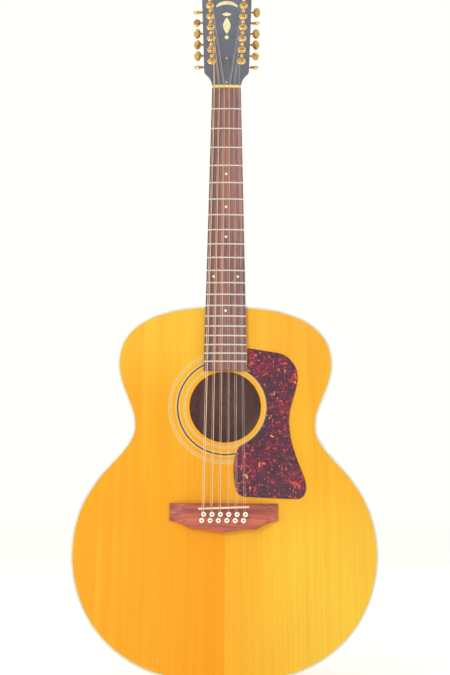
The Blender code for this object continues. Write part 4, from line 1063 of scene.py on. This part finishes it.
boardSizes = {
    "nutHalf": 23.1 * mm, "endHalf": 31.75 * mm, "thick": 6.5 * mm, "fretWidth": 2.4 * mm, "fretHeight": 1.0 * mm,
    "scale": 651 * mm, "frets": 20, "dotFrets": [5, 7, 9, 12, 15], "dotRadius": 2.1, "sideDotRadius": 1.0,
    "pairSpread": 18 * mm, "sidePairSpread": 3.5 * mm,
}


def fretAt(fret):
    return -boardSizes["scale"] * (1 - 2 ** (-fret / 12))


def boardHalf(z):
    share = max(0.0, -z) / -boardLow.z
    return boardSizes["nutHalf"] + (boardSizes["endHalf"] - boardSizes["nutHalf"]) * share


def boardArch(tree, radius, x):
    # how far the arched top has fallen at x
    squares = maths(tree, "SUBTRACT", maths(tree, "POWER", radius, 2.0), maths(tree, "MULTIPLY", x, x))
    return maths(tree, "SUBTRACT", radius, maths(tree, "SQRT", squares))


def boardTree():
    # a unit block shaped into the tapering board with its arched top
    tree, given, output = newTree("archedBoard", [
        ("length", "Float", 0.46), ("nutHalf", "Float", 0.024), ("endHalf", "Float", 0.032),
        ("low", "Float", 0.0003), ("thick", "Float", 0.0065), ("radius", "Float", 0.3), ("finish", "Material", None)])
    block = addNode(tree, "GeometryNodeMeshCube", {"Size": (1, 1, 1), "Vertices X": 25, "Vertices Y": 5,
                                                   "Vertices Z": 3}).outputs["Mesh"]
    place = addNode(tree, "ShaderNodeSeparateXYZ", {0: addNode(tree, "GeometryNodeInputPosition").outputs[0]}).outputs
    along = maths(tree, "SUBTRACT", 0.5, place["Z"])
    half = maths(tree, "ADD", given["nutHalf"],
                 maths(tree, "MULTIPLY", along, maths(tree, "SUBTRACT", given["endHalf"], given["nutHalf"])))
    x = maths(tree, "MULTIPLY", maths(tree, "MULTIPLY", place["X"], 2.0), half)
    front = maths(tree, "SUBTRACT", 0.5, place["Y"])
    crown = boardArch(tree, given["radius"], x)
    height = maths(tree, "SUBTRACT", maths(tree, "SUBTRACT", given["thick"], given["low"]), crown)
    y = maths(tree, "MULTIPLY", -1.0, maths(tree, "ADD", given["low"], maths(tree, "MULTIPLY", front, height)))
    z = maths(tree, "MULTIPLY", -1.0, maths(tree, "MULTIPLY", along, given["length"]))
    moved = addNode(tree, "ShaderNodeCombineXYZ", {0: x, 1: y, 2: z}).outputs[0]
    shaped = addNode(tree, "GeometryNodeSetPosition", {"Geometry": block, "Position": moved}).outputs[0]
    closeTree(tree, output, shaped, given["finish"])
    return tree


def fretTree():
    # one edge for each fret, bent over the board's arch and swept with a domed bead
    tree, given, output = newTree("fretRow", [("radius", "Float", 0.3), ("width", "Float", 0.0024),
                                              ("height", "Float", 0.001), ("finish", "Material", None)])
    curve = addNode(tree, "GeometryNodeMeshToCurve", {"Mesh": given["Geometry"]}).outputs[0]
    fine = addNode(tree, "GeometryNodeResampleCurve", {"Curve": curve, "Count": 17}).outputs[0]
    place = addNode(tree, "ShaderNodeSeparateXYZ", {0: addNode(tree, "GeometryNodeInputPosition").outputs[0]}).outputs
    offset = addNode(tree, "ShaderNodeCombineXYZ", {1: boardArch(tree, given["radius"], place["X"])}).outputs[0]
    bent = addNode(tree, "GeometryNodeSetPosition", {"Geometry": fine, "Offset": offset}).outputs[0]
    flat = addNode(tree, "GeometryNodeSetCurveNormal", {"Curve": bent}, mode="Z_UP").outputs[0]
    ring = addNode(tree, "GeometryNodeCurvePrimitiveCircle", {"Resolution": 14, "Radius": 1.0}).outputs["Curve"]
    size = addNode(tree, "ShaderNodeCombineXYZ", {0: given["height"], 1: maths(tree, "MULTIPLY", given["width"], 0.5),
                                                  2: 1.0}).outputs[0]
    bead = addNode(tree, "GeometryNodeTransform", {"Geometry": ring, "Scale": size}).outputs[0]
    swept = addNode(tree, "GeometryNodeCurveToMesh", {"Curve": flat, "Profile Curve": bead,
                                                      "Fill Caps": True}).outputs[0]
    closeTree(tree, output, swept, given["finish"])
    return tree


fretMetal = makeMottled("nickelFret", (0.88, 0.85, 0.78), (0.72, 0.69, 0.62), 300, 0.28, metallic=0.8)


def makeBoard():
    s = boardSizes
    board = grow("rosewoodBoard", pointMesh("boardSeed", [(0, 0, 0)]), boardTree(), {
        "length": -boardLow.z, "nutHalf": s["nutHalf"], "endHalf": s["endHalf"], "low": gap, "thick": s["thick"],
        "radius": boardRadius, "finish": boardWood}, 30)
    baked(bevelEdges(board, 0.35 * mm, 2, 50))
    finishPiece(board, "guitar", "rosewood", "fretboard")
    points, edges = [], []
    for fret in range(1, s["frets"] + 1):
        z = fretAt(fret)
        half = boardHalf(z) - 0.3 * mm
        points += [(-half, -s["thick"], z), (half, -s["thick"], z)]
        edges.append((len(points) - 2, len(points) - 1))
    frets = grow("frets", pointMesh("fretLines", points, edges), fretTree(), {
        "radius": boardRadius, "width": s["fretWidth"], "height": s["fretHeight"], "finish": fretMetal}, 60)
    finishPiece(frets, "guitar", "plain_steel")
    dots, sideDots = [], []
    for fret in s["dotFrets"]:                           # two dots at the octave
        z = (fretAt(fret) + fretAt(fret - 1)) / 2
        for way in ((-1, 1) if fret == 12 else (0,)):
            x = way * s["pairSpread"]
            dots.append((x, -s["thick"] + crownDrop(x), z))
            sideDots.append((-boardHalf(z), -3.0 * mm, z + way * s["sidePairSpread"]))
    r = s["dotRadius"]
    profile = inMm((r, -0.8), (r, 0.02), (r - 0.1, 0.08), (0, 0.1))
    scatter("pearlDots", turned(bmesh.new(), profile, 24), dots, (math.pi / 2, 0, 0), dotPearl, "bone")
    r = s["sideDotRadius"]
    profile = inMm((r, -0.8), (r, 0.02), (0, 0.05))
    scatter("sideDots", turned(bmesh.new(), profile, 16), sideDots, (0, -math.pi / 2, 0), pinPlastic, "bone")


nutShape = {"fall": 1.9 * mm, "ease": 0.35 * mm, "action": 0.5 * mm, "slotRoom": 0.1 * mm, "slotFall": 0.27}


def nutCentre(row):
    # the height of a string's middle at the nut
    top = boardSizes["thick"] + boardSizes["fretHeight"] + nutShape["action"]
    return crownDrop(row["nutX"]) - top - row["radius"]


def makeNut():
    # the top follows the board's arch, slopes away behind its front edge and has a round slot for each string
    s = nutShape
    half, z0, z1 = nutHigh.x, nutLow.z, nutHigh.z
    stations = [-half + 2 * half * i / 16 for i in range(17)]
    for row in strings:
        row["slot"] = row["radius"] + s["slotRoom"]
        stations += [row["nutX"] + share * row["slot"] for share in (-1.06, -1, -0.7, -0.35, 0, 0.35, 0.7, 1, 1.06)]
    rings = []
    for x in sorted(stations):
        ease = s["ease"] * (1 if abs(x) < half else 2)
        crown, fall = nutLow.y + crownDrop(x), s["fall"]
        ring = [(x, nutHigh.y, z0)]
        for z, drop in ((z0, ease), (z0 + ease * 0.3, ease * 0.3), (z0 + ease, 0), ((z0 + z1) / 2, fall * 0.35),
                        (z1 - ease, fall * 0.8), (z1 - ease * 0.2, fall + ease * 0.4), (z1, fall + ease)):
            y = crown + drop
            for row in strings:
                across = abs(x - row["nutX"])
                if across < row["slot"] * 1.01:
                    floor = nutCentre(row) + math.sqrt(max(0.0, row["slot"] ** 2 - across ** 2))
                    y = max(y, floor + s["slotFall"] * max(0.0, z - 0.6 * mm))
            ring.append((x, y, z))
        rings.append(ring + [(x, nutHigh.y, z1)])
    mesh = meshFrom("boneNut", skin(bmesh.new(), rings))
    finishPiece(addObject("boneNut", mesh, bone, 50), "guitar", "bone", "nut")


makeBoard()
makeNut()
print("fretboard made")


# neck and headstock

headShape = {"tilt": math.radians(14), "faceAtNut": 1.5 * mm, "thick": 15.5 * mm, "overlay": 1.5 * mm,
             "cornerAt": 212 * mm, "length": 222 * mm, "shoulderAt": 40 * mm, "shoulderHalf": 36 * mm,
             "topHalf": 42.3 * mm, "nutLength": 5 * mm}
neckShape = {"depthAtNut": 14.5 * mm, "depthAtHeel": 17.5 * mm, "heelStart": 78 * mm, "capHalf": 15 * mm,
             "turnFrom": -14 * mm, "turnTo": 62 * mm, "shoulderCut": 1.25}


def headPoint(x, along, out):
    tilt = headShape["tilt"]
    return Vector((x, -headShape["faceAtNut"] + along * math.sin(tilt) - out * math.cos(tilt),
                   along * math.cos(tilt) + out * math.sin(tilt)))


def headHalf():
    s, detail = headShape, 2
    start = (boardSizes["nutHalf"], s["nutLength"] + 1.6 * mm)
    shoulder = (s["shoulderHalf"] - 1.4 * mm, s["shoulderAt"] - 4.5 * mm)
    points = bezier(start, (start[0], start[1] + 14 * mm), (shoulder[0] - 5.6 * mm, shoulder[1] - 6 * mm),
                    shoulder, 7 * detail)
    points += bezier(shoulder, (shoulder[0] + 0.9 * mm, shoulder[1] + 1 * mm),
                     (s["shoulderHalf"] - 0.05 * mm, s["shoulderAt"] - 1.5 * mm),
                     (s["shoulderHalf"], s["shoulderAt"]), 3, first=False)
    cornerEnd = (s["topHalf"] - 6 * mm, s["cornerAt"] + 4.5 * mm)
    points += bezier((s["topHalf"], s["cornerAt"] - 5 * mm), (s["topHalf"] + 0.3 * mm, s["cornerAt"] + 1 * mm),
                     (s["topHalf"] - 1.5 * mm, s["cornerAt"] + 3 * mm), cornerEnd, 4 * detail)
    points += bezier(cornerEnd, (24 * mm, s["length"] - 2 * mm), (12 * mm, s["length"]), (0, s["length"]),
                     4 * detail, first=False)
    return points


headRow = headHalf()


def headWidth(along):
    for (xa, aa), (xb, ab) in zip(headRow, headRow[1:]):
        if aa <= along <= ab:
            return xa + (xb - xa) * (along - aa) / max(ab - aa, 1e-9)
    return headRow[0][0]


def headPlate(name, row, outFront, outBack, edge, material, slot, *replaced):
    # a plate in the headstock's own plane, from an outline of (x, along)
    flat = plate(name, row, -outFront, -outBack, None, edge)
    for vertex in flat.vertices:
        vertex.co = headPoint(vertex.co.x, vertex.co.z, -vertex.co.y)
    finishPiece(addObject(name, flat, material, 30 if edge else None), "guitar", slot, *replaced)


def halfRound(half, depth, square, count):
    # across and depth of a half-round back that squares up as `square` goes to 1
    sidePower, depthPower = 1 - 0.72 * square, 1 - 0.78 * square
    points = []
    for i in range(count + 1):
        angle = math.pi * i / count
        across, down = math.cos(angle), math.sin(angle) if 0 < i < count else 0.0
        points.append((math.copysign(abs(across) ** sidePower, across) * half, depth * down ** depthPower))
    return points


def makeNeck():
    s = neckShape
    count = 32
    shaftEnd = bodyTop + s["heelStart"]
    heelDepth = rimDepth(bodyTop) - gap
    neckEnd = bodyTop + gap

    def depthAt(z):
        share = min(1.0, max(0.0, -z) / -shaftEnd)
        return s["depthAtNut"] + (s["depthAtHeel"] - s["depthAtNut"]) * share

    rings = []
    for i in range(41):                                  # heel, from the body up
        heel = 1 - i / 40
        z = shaftEnd + (neckEnd - shaftEnd) * heel
        rise = 1 - math.sqrt(max(0.0, 1 - heel ** 2))
        square = min(1.0, 1.4 * heel) * 0.55
        half = boardHalf(z)
        ring = []
        for x, y in halfRound(half, 1.0, square, count):
            depth = (depthAt(z) + (heelDepth - depthAt(z)) * rise) * y
            narrow = half + (min(half, s["capHalf"] + 4 * mm) - half) * y * rise
            ring.append((x / half * narrow, depth, z))
        rings.append(ring)
    for i in range(1, 25):                               # shaft, up to the nut
        z = shaftEnd * (1 - i / 24) + (-14 * mm) * (i / 24)
        rings.append([(x, y, z) for x, y in halfRound(boardHalf(z), depthAt(z), 0.0, count)])
    nutTop = headShape["nutLength"] + 0.8 * mm
    core = headShape["thick"] - headShape["overlay"] - gap
    lowest = s["turnFrom"]
    for i in range(1, 41):                               # the turn behind the nut
        along = lowest + (s["turnTo"] - lowest) * i / 40
        share = min(1.0, max(0.0, (along - lowest) / (24 * mm - lowest)))
        ease = share * share * (3 - 2 * share)
        half = boardSizes["nutHalf"] if along < nutTop else headWidth(along)
        square = min(1.0, max(0.0, (along - nutTop) / (s["turnTo"] - nutTop)))
        straight = halfRound(half, s["depthAtNut"], 0.0, count)
        tilted = halfRound(half, core, square, count)
        ring = []
        for (xa, ya), (xb, yb) in zip(straight, tilted):
            below = Vector((xa, ya, along))
            above = headPoint(xb, along, -headShape["overlay"] - gap - yb)
            if along < nutTop:
                above.y = max(above.y, 0.0)
            point = below.lerp(above, ease)
            if along > nutTop:                           # the shoulders are cut away towards the back
                room = headWidth(max(nutTop, along - s["shoulderCut"] * yb))
                point.x = math.copysign(min(abs(point.x), room), point.x)
            ring.append(tuple(point))
        rings.append(ring)
    tops = [s["turnTo"] / mm + (headShape["cornerAt"] / mm - 5 - s["turnTo"] / mm) * i / 40 for i in range(1, 41)]
    tops += [headShape["cornerAt"] / mm - 5 + (headShape["length"] / mm + 5 - headShape["cornerAt"] / mm) *
             math.sin(math.pi / 2 * i / 14) for i in range(1, 15)]
    for along in tops:
        along = min(along * mm, headShape["length"] - 0.01 * mm)
        half = max(headWidth(along), 0.4 * mm)
        rings.append([tuple(headPoint(x, along, -headShape["overlay"] - gap - y))
                      for x, y in halfRound(half, core, 1.0, count)])
    mesh = meshFrom("mahoganyNeck", skin(bmesh.new(), rings))
    finishPiece(addObject("mahoganyNeck", mesh, neckWood, 50), "guitar", "mahogany", "neck")


headTrim = {                        # millimetres in the headstock's own plane
    "cover": [(8.5, 8.5), (9.5, 12.5), (9.55, 17), (8.9, 25), (7.5, 32.5), (5.8, 43), (4.75, 53), (4.4, 60), (4.2, 67),
              (3.8, 70.3), (2.4, 72.4), (0, 73)],
    "coverThick": 1.6, "screwsAt": (14.6, 68.2),
    "screw": [(1.75, -0.4), (1.75, 0.2), (1.5, 0.55), (0.9, 0.8), (0, 0.9)],
    "inlayProud": 0.06, "inlayDeep": 0.6,
    "lozenges": {"inlayLongLozenge": (147, 19.5, 6.6), "inlayLowLozenge": (119, 5.0, 3.6),
                 "inlayHighLozenge": (174.5, 4.4, 8.2)},                  # middle, half length, half width
    "ribbonHalf": 18.5, "ribbonTop": (207.5, 8.5, 3.0), "ribbonFoot": (199.0, 9.0, -2.2), "ribbonSteps": 40,
}


def makeHead():
    s, trim = headShape, headTrim
    headPlate("blackHeadFace", mirrorHalf(headRow), 0.0, -s["overlay"], 0.5 * mm, blackLacquer, "black_face",
              "headstock_overlay")
    front = gap + trim["coverThick"] * mm
    headPlate("bellCover", smoothLoop(mirrorHalf(inMm(*trim["cover"])), 4, 50), front, gap, 0.4 * mm, blackLacquer,
              "black_face", "truss_rod_cover")
    places = [headPoint(0, along * mm, front) for along in trim["screwsAt"]]
    facing = (math.pi / 2 - s["tilt"], 0, 0)
    scatter("coverScrews", turned(bmesh.new(), inMm(*trim["screw"]), 20), places, facing, gold, "gold_metal")

    inlays = {}                                          # a column of plain pearl lozenges
    for name, (centre, length, half) in trim["lozenges"].items():
        inlays[name] = []
        for sine, cosine in circle(0, 0, 1, 48):
            inlays[name].append((math.copysign(abs(sine) ** 1.5, sine) * half,
                                 centre + math.copysign(abs(cosine) ** 1.5, cosine) * length))
    steps, row = trim["ribbonSteps"], []                 # and a ribbon near the tip, its ends drawn down
    for (along, bow, tuck), bulge, way in ((trim["ribbonTop"], 0, 1), (trim["ribbonFoot"], 1.2, -1)):
        for i in range(steps + 1):
            share = way * (2 * i / steps - 1)
            row.append((share * (trim["ribbonHalf"] + bulge * (1 - share * share)),
                        along - bow * share * share - tuck * abs(share) ** 6))
    inlays["inlayRibbon"] = row
    for name, row in inlays.items():
        headPlate(name, inMm(*row), trim["inlayProud"] * mm, -trim["inlayDeep"] * mm, 0.0, pearl, "bone")


makeNeck()
makeHead()
print("neck and headstock made")


# tuners

tunerSizes = {
    "post": 3.0 * mm, "waist": 2.5 * mm, "gearRadius": 5.2 * mm, "gearThick": 3.2 * mm,
    "teeth": 14, "shaft": 1.6 * mm, "worm": 2.4 * mm, "wormTurns": 4, "housingHalf": 7.4 * mm,
    "buttonCentre": 23.4 * mm, "buttonSize": (6.2 * mm, 8.2 * mm, 2.8 * mm), "washer": 7.3, "bushing": 5.0,
    "bassTurns": [140, 50, 64, 50, 5, 140], "trebleTurns": [140, 92, 62, 50, 140, 50],
}
upright = math.pi / 2 - headShape["tilt"]


def postMesh():
    s = tunerSizes
    bm = bmesh.new()
    r, w = s["post"], s["waist"]
    gearOut = -headShape["thick"] - gap - 4.9 * mm
    low, high = gearOut - s["gearThick"] / 2, gearOut + s["gearThick"] / 2
    profile = [(r * 0.9, low + 0.2 * mm), (r, high), (r, 1.4 * mm)]
    profile += [(w + more * mm, height * mm) for more, height in (
        (0.15, 1.9), (0, 2.3), (-0.1, 5.8), (0, 9.2), (0.2, 9.8))]
    profile += [(r + more * mm, height * mm) for more, height in (
        (-0.05, 10.4), (0, 10.8), (0, 12.6), (-0.2, 13.1), (-0.7, 13.4))]
    turned(bm, profile + [(0, 13.5 * mm)], 32)
    rings = []
    for level, shrink in ((low, 0.35 * mm), (low + 0.35 * mm, 0), (high - 0.35 * mm, 0), (high, 0.35 * mm)):
        ring = []
        for i in range(s["teeth"] * 6):
            angle = 2 * math.pi * i / (s["teeth"] * 6)
            tooth = (0, 0.35, 1, 1, 0.35, 0)[i % 6]
            radius = s["gearRadius"] - 1.0 * mm + tooth * 1.0 * mm - shrink
            ring.append((radius * math.cos(angle), radius * math.sin(angle), level))
        rings.append(ring)
    skin(bm, rings)
    return meshFrom("tunerPost", bm)


def knobMesh():
    s = tunerSizes
    bm = bmesh.new()
    outward = Matrix.Rotation(math.pi / 2, 4, "Y")
    collar = s["housingHalf"]
    start = s["buttonCentre"] - s["buttonSize"][0]
    profile = [(s["shaft"], -5.4 * mm), (s["shaft"], collar - 0.2 * mm), (s["shaft"] + 0.2 * mm, collar + 0.45 * mm)]
    profile += [(radius * mm, collar + out * mm) for radius, out in (
        (2.5, 0.5), (2.7, 0.8), (2.7, 1.9), (2.4, 2.3), (1.75, 2.6), (1.6, 4.2))]
    profile += [(radius * mm, start + out * mm) for radius, out in ((2.0, -0.9), (2.5, -0.2), (2.5, 2.2))]
    turned(bm, profile, 24, outward)
    rings = []                                            # worm: a ridge that winds along the shaft
    for i in range(29):
        x = -4.3 * mm + 8.6 * mm * i / 28
        ring = []
        for j in range(20):
            angle = 2 * math.pi * j / 20
            ridge = math.cos(angle - 2 * math.pi * s["wormTurns"] * i / 28)
            radius = s["worm"] - 0.35 * mm + 0.35 * mm * ridge
            if i in (0, 28):
                radius = s["shaft"]
            ring.append((x, radius * math.cos(angle), radius * math.sin(angle)))
        rings.append(ring)
    skin(bm, rings)
    a, b, c = s["buttonSize"]
    rings = []                                            # oval button with flat cheeks
    for i in range(1, 16):
        polar = math.pi * i / 16
        ring = []
        for j in range(36):
            angle = 2 * math.pi * j / 36
            y, z = math.sin(polar) * math.cos(angle), math.sin(polar) * math.sin(angle)
            z = math.copysign(abs(z) ** 0.62, z)
            ring.append((s["buttonCentre"] - math.cos(polar) * a, y * b, z * c))
        rings.append(ring)
    skin(bm, rings)
    return meshFrom("tunerKnob", bm)


def makeTuners():
    post, knob = postMesh(), knobMesh()
    start = tunerSizes["buttonCentre"] - tunerSizes["buttonSize"][0]
    posts = {}
    for sideName, sign, turns in (("bass", -1, tunerSizes["bassTurns"]), ("treble", 1, tunerSizes["trebleTurns"])):
        for index in range(tunersPerSide):
            body = f"post_{sideName}_{index + 1}"
            centre = Vector(joints[body]["pos_m"])
            posts[(sign, index)] = centre
            mesh = post.copy()
            mesh.transform(Matrix.Translation(centre) @ Matrix.Rotation(upright, 4, "X"))
            finishPiece(addObject(f"stringPost_{sideName}_{index + 1}", mesh, gold, 40), body, "gold_metal", body)
            body = f"knob_{sideName}_{index + 1}"
            centre = Vector(joints[body]["pos_m"])
            mesh = knob.copy()
            # how far each point lies into the button's middle: the mask for the painted shade on the cheeks
            cheekShade = mesh.attributes.new("cheekShade", "FLOAT", "POINT")
            for point, vertex in zip(cheekShade.data, mesh.vertices):
                flat = 1 - math.hypot((vertex.co.x - tunerSizes["buttonCentre"]) / tunerSizes["buttonSize"][0],
                                      vertex.co.y / tunerSizes["buttonSize"][1])
                point.value = max(0.0, flat) if vertex.co.x > start else 0.0
            facing = Matrix.Rotation(math.pi if sign < 0 else 0, 4, "Z")
            leaning = Matrix.Rotation(upright + math.radians(turns[index]), 4, "X")
            mesh.transform(Matrix.Translation(centre) @ leaning @ facing)
            finishPiece(addObject(f"tuningKnob_{sideName}_{index + 1}", mesh, buttonGold, 40), body, "gold_metal", body)
    facing = (upright, 0, 0)
    places = list(posts.values())
    w = tunerSizes["washer"]
    profile = inMm((3.4, 0.02), (w, 0.02), (w, 0.7), (w - 0.3, 1.1), (w - 0.9, 1.4), (w - 1.6, 1.5), (3.4, 1.5))
    rows = [ringAt(radius, height, 36) for radius, height in profile]
    scatter("postWashers", skin(bmesh.new(), rows, closed=True), places, facing, gold, "gold_metal")
    b, rows = tunerSizes["bushing"], []                   # radius, height and how far the ring is a hexagon
    for radius, height, hexagon in ((3.25, 1.4, 0), (b + 0.3, 1.4, 1), (b + 0.3, 2.2, 1), (b - 0.1, 2.6, 0.5),
                                    (b - 0.7, 2.9, 0), (4.0, 3.05, 0), (3.5, 3.0, 0), (3.25, 2.8, 0)):
        row = []
        for i in range(48):
            angle = 2 * math.pi * i / 48
            side = math.cos(math.pi / 6) / math.cos((angle % (math.pi / 3)) - math.pi / 6)
            reach = radius * mm * (1 + (side * 1.06 - 1) * hexagon)
            row.append((reach * math.cos(angle), reach * math.sin(angle), height * mm))
        rows.append(row)
    scatter("postBushings", skin(bmesh.new(), rows, closed=True), places, facing, gold, "gold_metal", 30)
    for sideName in ("bass", "treble"):
        softCopy(f"tunerHousing_{sideName}", f"tuner_strip_{sideName}", 0.45 * mm, gold, "gold_metal")
    screws, covers = [], []
    for (sign, index), centre in posts.items():
        back = -headShape["thick"] - gap
        if index < tunersPerSide - 1:
            spot = centre + (posts[(sign, index + 1)] - centre) * 0.60
            screws.append(spot + (headPoint(0, 0, back - 1.2 * mm) - headPoint(0, 0, 0)))
        covers.append(centre + (headPoint(0, 0, back - 10.5 * mm) - headPoint(0, 0, 0)))
    backFacing = (upright + math.pi, 0, 0)
    head = inMm((1.9, -0.6), (1.9, 0.1), (1.6, 0.6), (1.0, 0.95), (0, 1.05))
    scatter("plateScrews", turned(bmesh.new(), head, 20), screws, backFacing, gold, "gold_metal")
    head = inMm((2.6, -0.3), (2.6, 0.35), (2.3, 0.6), (0.9, 0.6), (0.8, 0.2), (0, 0.2))
    scatter("gearScrews", turned(bmesh.new(), head, 24), covers, backFacing, gold, "gold_metal")
    return posts


posts = makeTuners()
print("tuners made")


# strings

def stringPath(row):
    s = stringLayout
    radius = row["radius"]
    nutY = nutCentre(row)
    saddleY = saddleTop + crownDrop(row["saddleX"]) - radius + 0.05 * mm
    bridgeTop = bridgeLow.y
    saddleAt = saddleZ + s["slant"] * (row["saddleX"] - s["saddleShift"]) / (saddleHigh.x - saddleLow.x)
    hole = row["pinZ"] + 1.5 * mm
    pinX, saddleX, nutX = row["pinX"], row["saddleX"], row["nutX"]
    points = [Vector(place) for place in (
        (pinX, 8 * mm, hole), (pinX, bridgeTop + 1 * mm, hole),
        (pinX, bridgeTop - 0.3 * mm - radius, hole + 0.3 * mm),
        (pinX, bridgeTop - 0.6 * mm - radius, hole + 1.0 * mm),
        (saddleX, saddleY + 0.15 * mm, saddleAt - 0.8 * mm), (saddleX, saddleY, saddleAt),
        (nutX, nutY, 0.0), (nutX, nutY + 0.1 * mm, 1.0 * mm))]
    sign = -1 if row["course"] < 3 else 1
    fromEdge = row["course"] if sign < 0 else 5 - row["course"]
    outer = row["member"] == (0 if sign < 0 else 1)
    index = 2 * fromEdge + (0 if outer else 1)
    centre = posts[(sign, index)]
    along = centre.z / math.cos(headShape["tilt"])
    wrap = tunerSizes["waist"] + 0.15 * mm + radius
    dx, dh = row["nutX"] - centre.x, 5.6 * mm - along
    start = math.atan2(dh, dx) - sign * math.acos(wrap / math.hypot(dx, dh))
    height = (5.2 * mm, 7.7 * mm)[index % 2]
    pitch = 2 * radius + 0.12 * mm
    turns = s["wraps"] if radius < 0.4 * mm else 1.25
    steps = round(26 * turns)
    for i in range(steps + 1):
        swept = turns * 2 * math.pi * i / steps
        angle = start - sign * swept
        points.append(headPoint(centre.x + wrap * math.cos(angle), along + wrap * math.sin(angle),
                                height - pitch * swept / (2 * math.pi)))
    return points


def tube(name, points, radius, sides):
    # a round string along its path; the "along" map holds its length in metres and its way round
    bm = bmesh.new()
    layer = bm.loops.layers.uv.new("along")
    rows, lengths, length = [], [], 0.0
    normal = Vector((1, 0, 0))
    for i, point in enumerate(points):
        before = points[max(0, i - 1)]
        after = points[min(len(points) - 1, i + 1)]
        tangent = (after - before).normalized()
        normal = (normal - tangent * normal.dot(tangent)).normalized()
        side = tangent.cross(normal)
        length += (point - before).length
        lengths.append(length)
        rows.append([bm.verts.new(point + (normal * math.cos(2 * math.pi * j / sides) +
                                           side * math.sin(2 * math.pi * j / sides)) * radius) for j in range(sides)])
    for i in range(len(rows) - 1):
        for j in range(sides):
            k = (j + 1) % sides
            face = bm.faces.new((rows[i][j], rows[i][k], rows[i + 1][k], rows[i + 1][j]))
            for loop, (u, v) in zip(face.loops, ((i, j), (i, j + 1), (i + 1, j + 1), (i + 1, j))):
                loop[layer].uv = (lengths[u], v / sides)
    for row in (rows[0], rows[-1]):
        bm.faces.new(row)
    return meshFrom(name, bm)


def makeStrings():
    bronze = {}
    plain = makeString("plainSteelString", (0.96, 0.94, 0.91), (0.78, 0.74, 0.70), 40 * mm, 0.0)
    for row in strings:
        radius = row["radius"]
        isWound = radius > stringLayout["woundFrom"]
        material = plain
        if isWound:
            pitch = round(radius * 0.55 / mm, 2)
            if pitch not in bronze:
                bronze[pitch] = makeString(f"woundBronze{len(bronze) + 1}", (1.0, 0.78, 0.56), (0.92, 0.62, 0.40),
                                           pitch * mm, 0.06)
            material = bronze[pitch]
        member = "octave" if row["member"] == 0 else "main"
        name = f"string_{row['course'] + 1}_{member}"
        points = stringPath(row)
        spread = []
        for a, b in zip(points, points[1:]):             # long runs get a few stations for shading
            pieces = max(1, min(14, int((b - a).length / (45 * mm))))
            spread += [a.lerp(b, i / pieces) for i in range(pieces)]
        spread.append(points[-1])
        mesh = tube(name + "Wire", spread, radius, stringLayout["sides"])
        obj = addObject(name + "Wire", mesh, material, 60)
        finishPiece(obj, "guitar", "wound_bronze" if isWound else "plain_steel", name)


makeStrings()
print("strings made")


# end pin

endPinSizes = {"head": 7.5, "shank": 4.2, "plug": 3.6}   # radii in millimetres


def makeEndPin():
    low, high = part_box("end_pin")
    r, shank, plug = (endPinSizes[key] for key in ("head", "shank", "plug"))
    profile = inMm((plug, -16), (plug, 0.3), (r - 0.9, 0.3), (r - 0.2, 0.7), (r, 1.3), (r - 0.4, 2.1),
                   (shank + 1.2, 3.6), (shank, 5.4), (shank, 7.4), (shank + 0.9, 9.2), (r - 1.3, 10.2),
                   (r - 1, 11.3), (r - 1.2, 12.6), (r - 2.4, 13.6), (0, 14))
    place = Matrix.Translation((0, (low.y + high.y) / 2, bodyBottom)) @ Matrix.Rotation(math.pi, 4, "X")
    mesh = meshFrom("strapPin", turned(bmesh.new(), profile, 40, place))
    finishPiece(addObject("strapPin", mesh, pinPlastic, 35), "guitar", "cream_binding", "end_pin")


makeEndPin()


# floor

def makeFloor():
    material, tree, shader, place = newMaterial("paleFloor", Roughness=0.9, Specular_IOR_Level=0.1)
    soft = noise(tree, place, 1.5, 2)
    lighter = tuple(min(1.0, c * 1.02) for c in studio["floorColour"])
    tone = ramp(tree, soft, (0.3, studio["floorColour"]), (0.7, lighter))
    tree.links.new(tone, shader.inputs["Base Color"])
    shader.inputs["Emission Color"].default_value = (*studio["backdrop"], 1)
    shader.inputs["Emission Strength"].default_value = studio["floorGlow"]
    bm = bmesh.new()
    level = cadLow.z - studio["floorDrop"]
    corners = ((-1, -1), (1, -1), (1, 1), (-1, 1))
    skin(bm, [[(x * size, y * size, level) for x, y in corners] for size in (0.01, studio["floorReach"])])
    bmesh.ops.delete(bm, geom=[max(bm.faces, key=lambda f: f.calc_area())], context="FACES_ONLY")
    floor = addObject("floor", meshFrom("floor", bm, False), material)


makeFloor()
print("floor made")
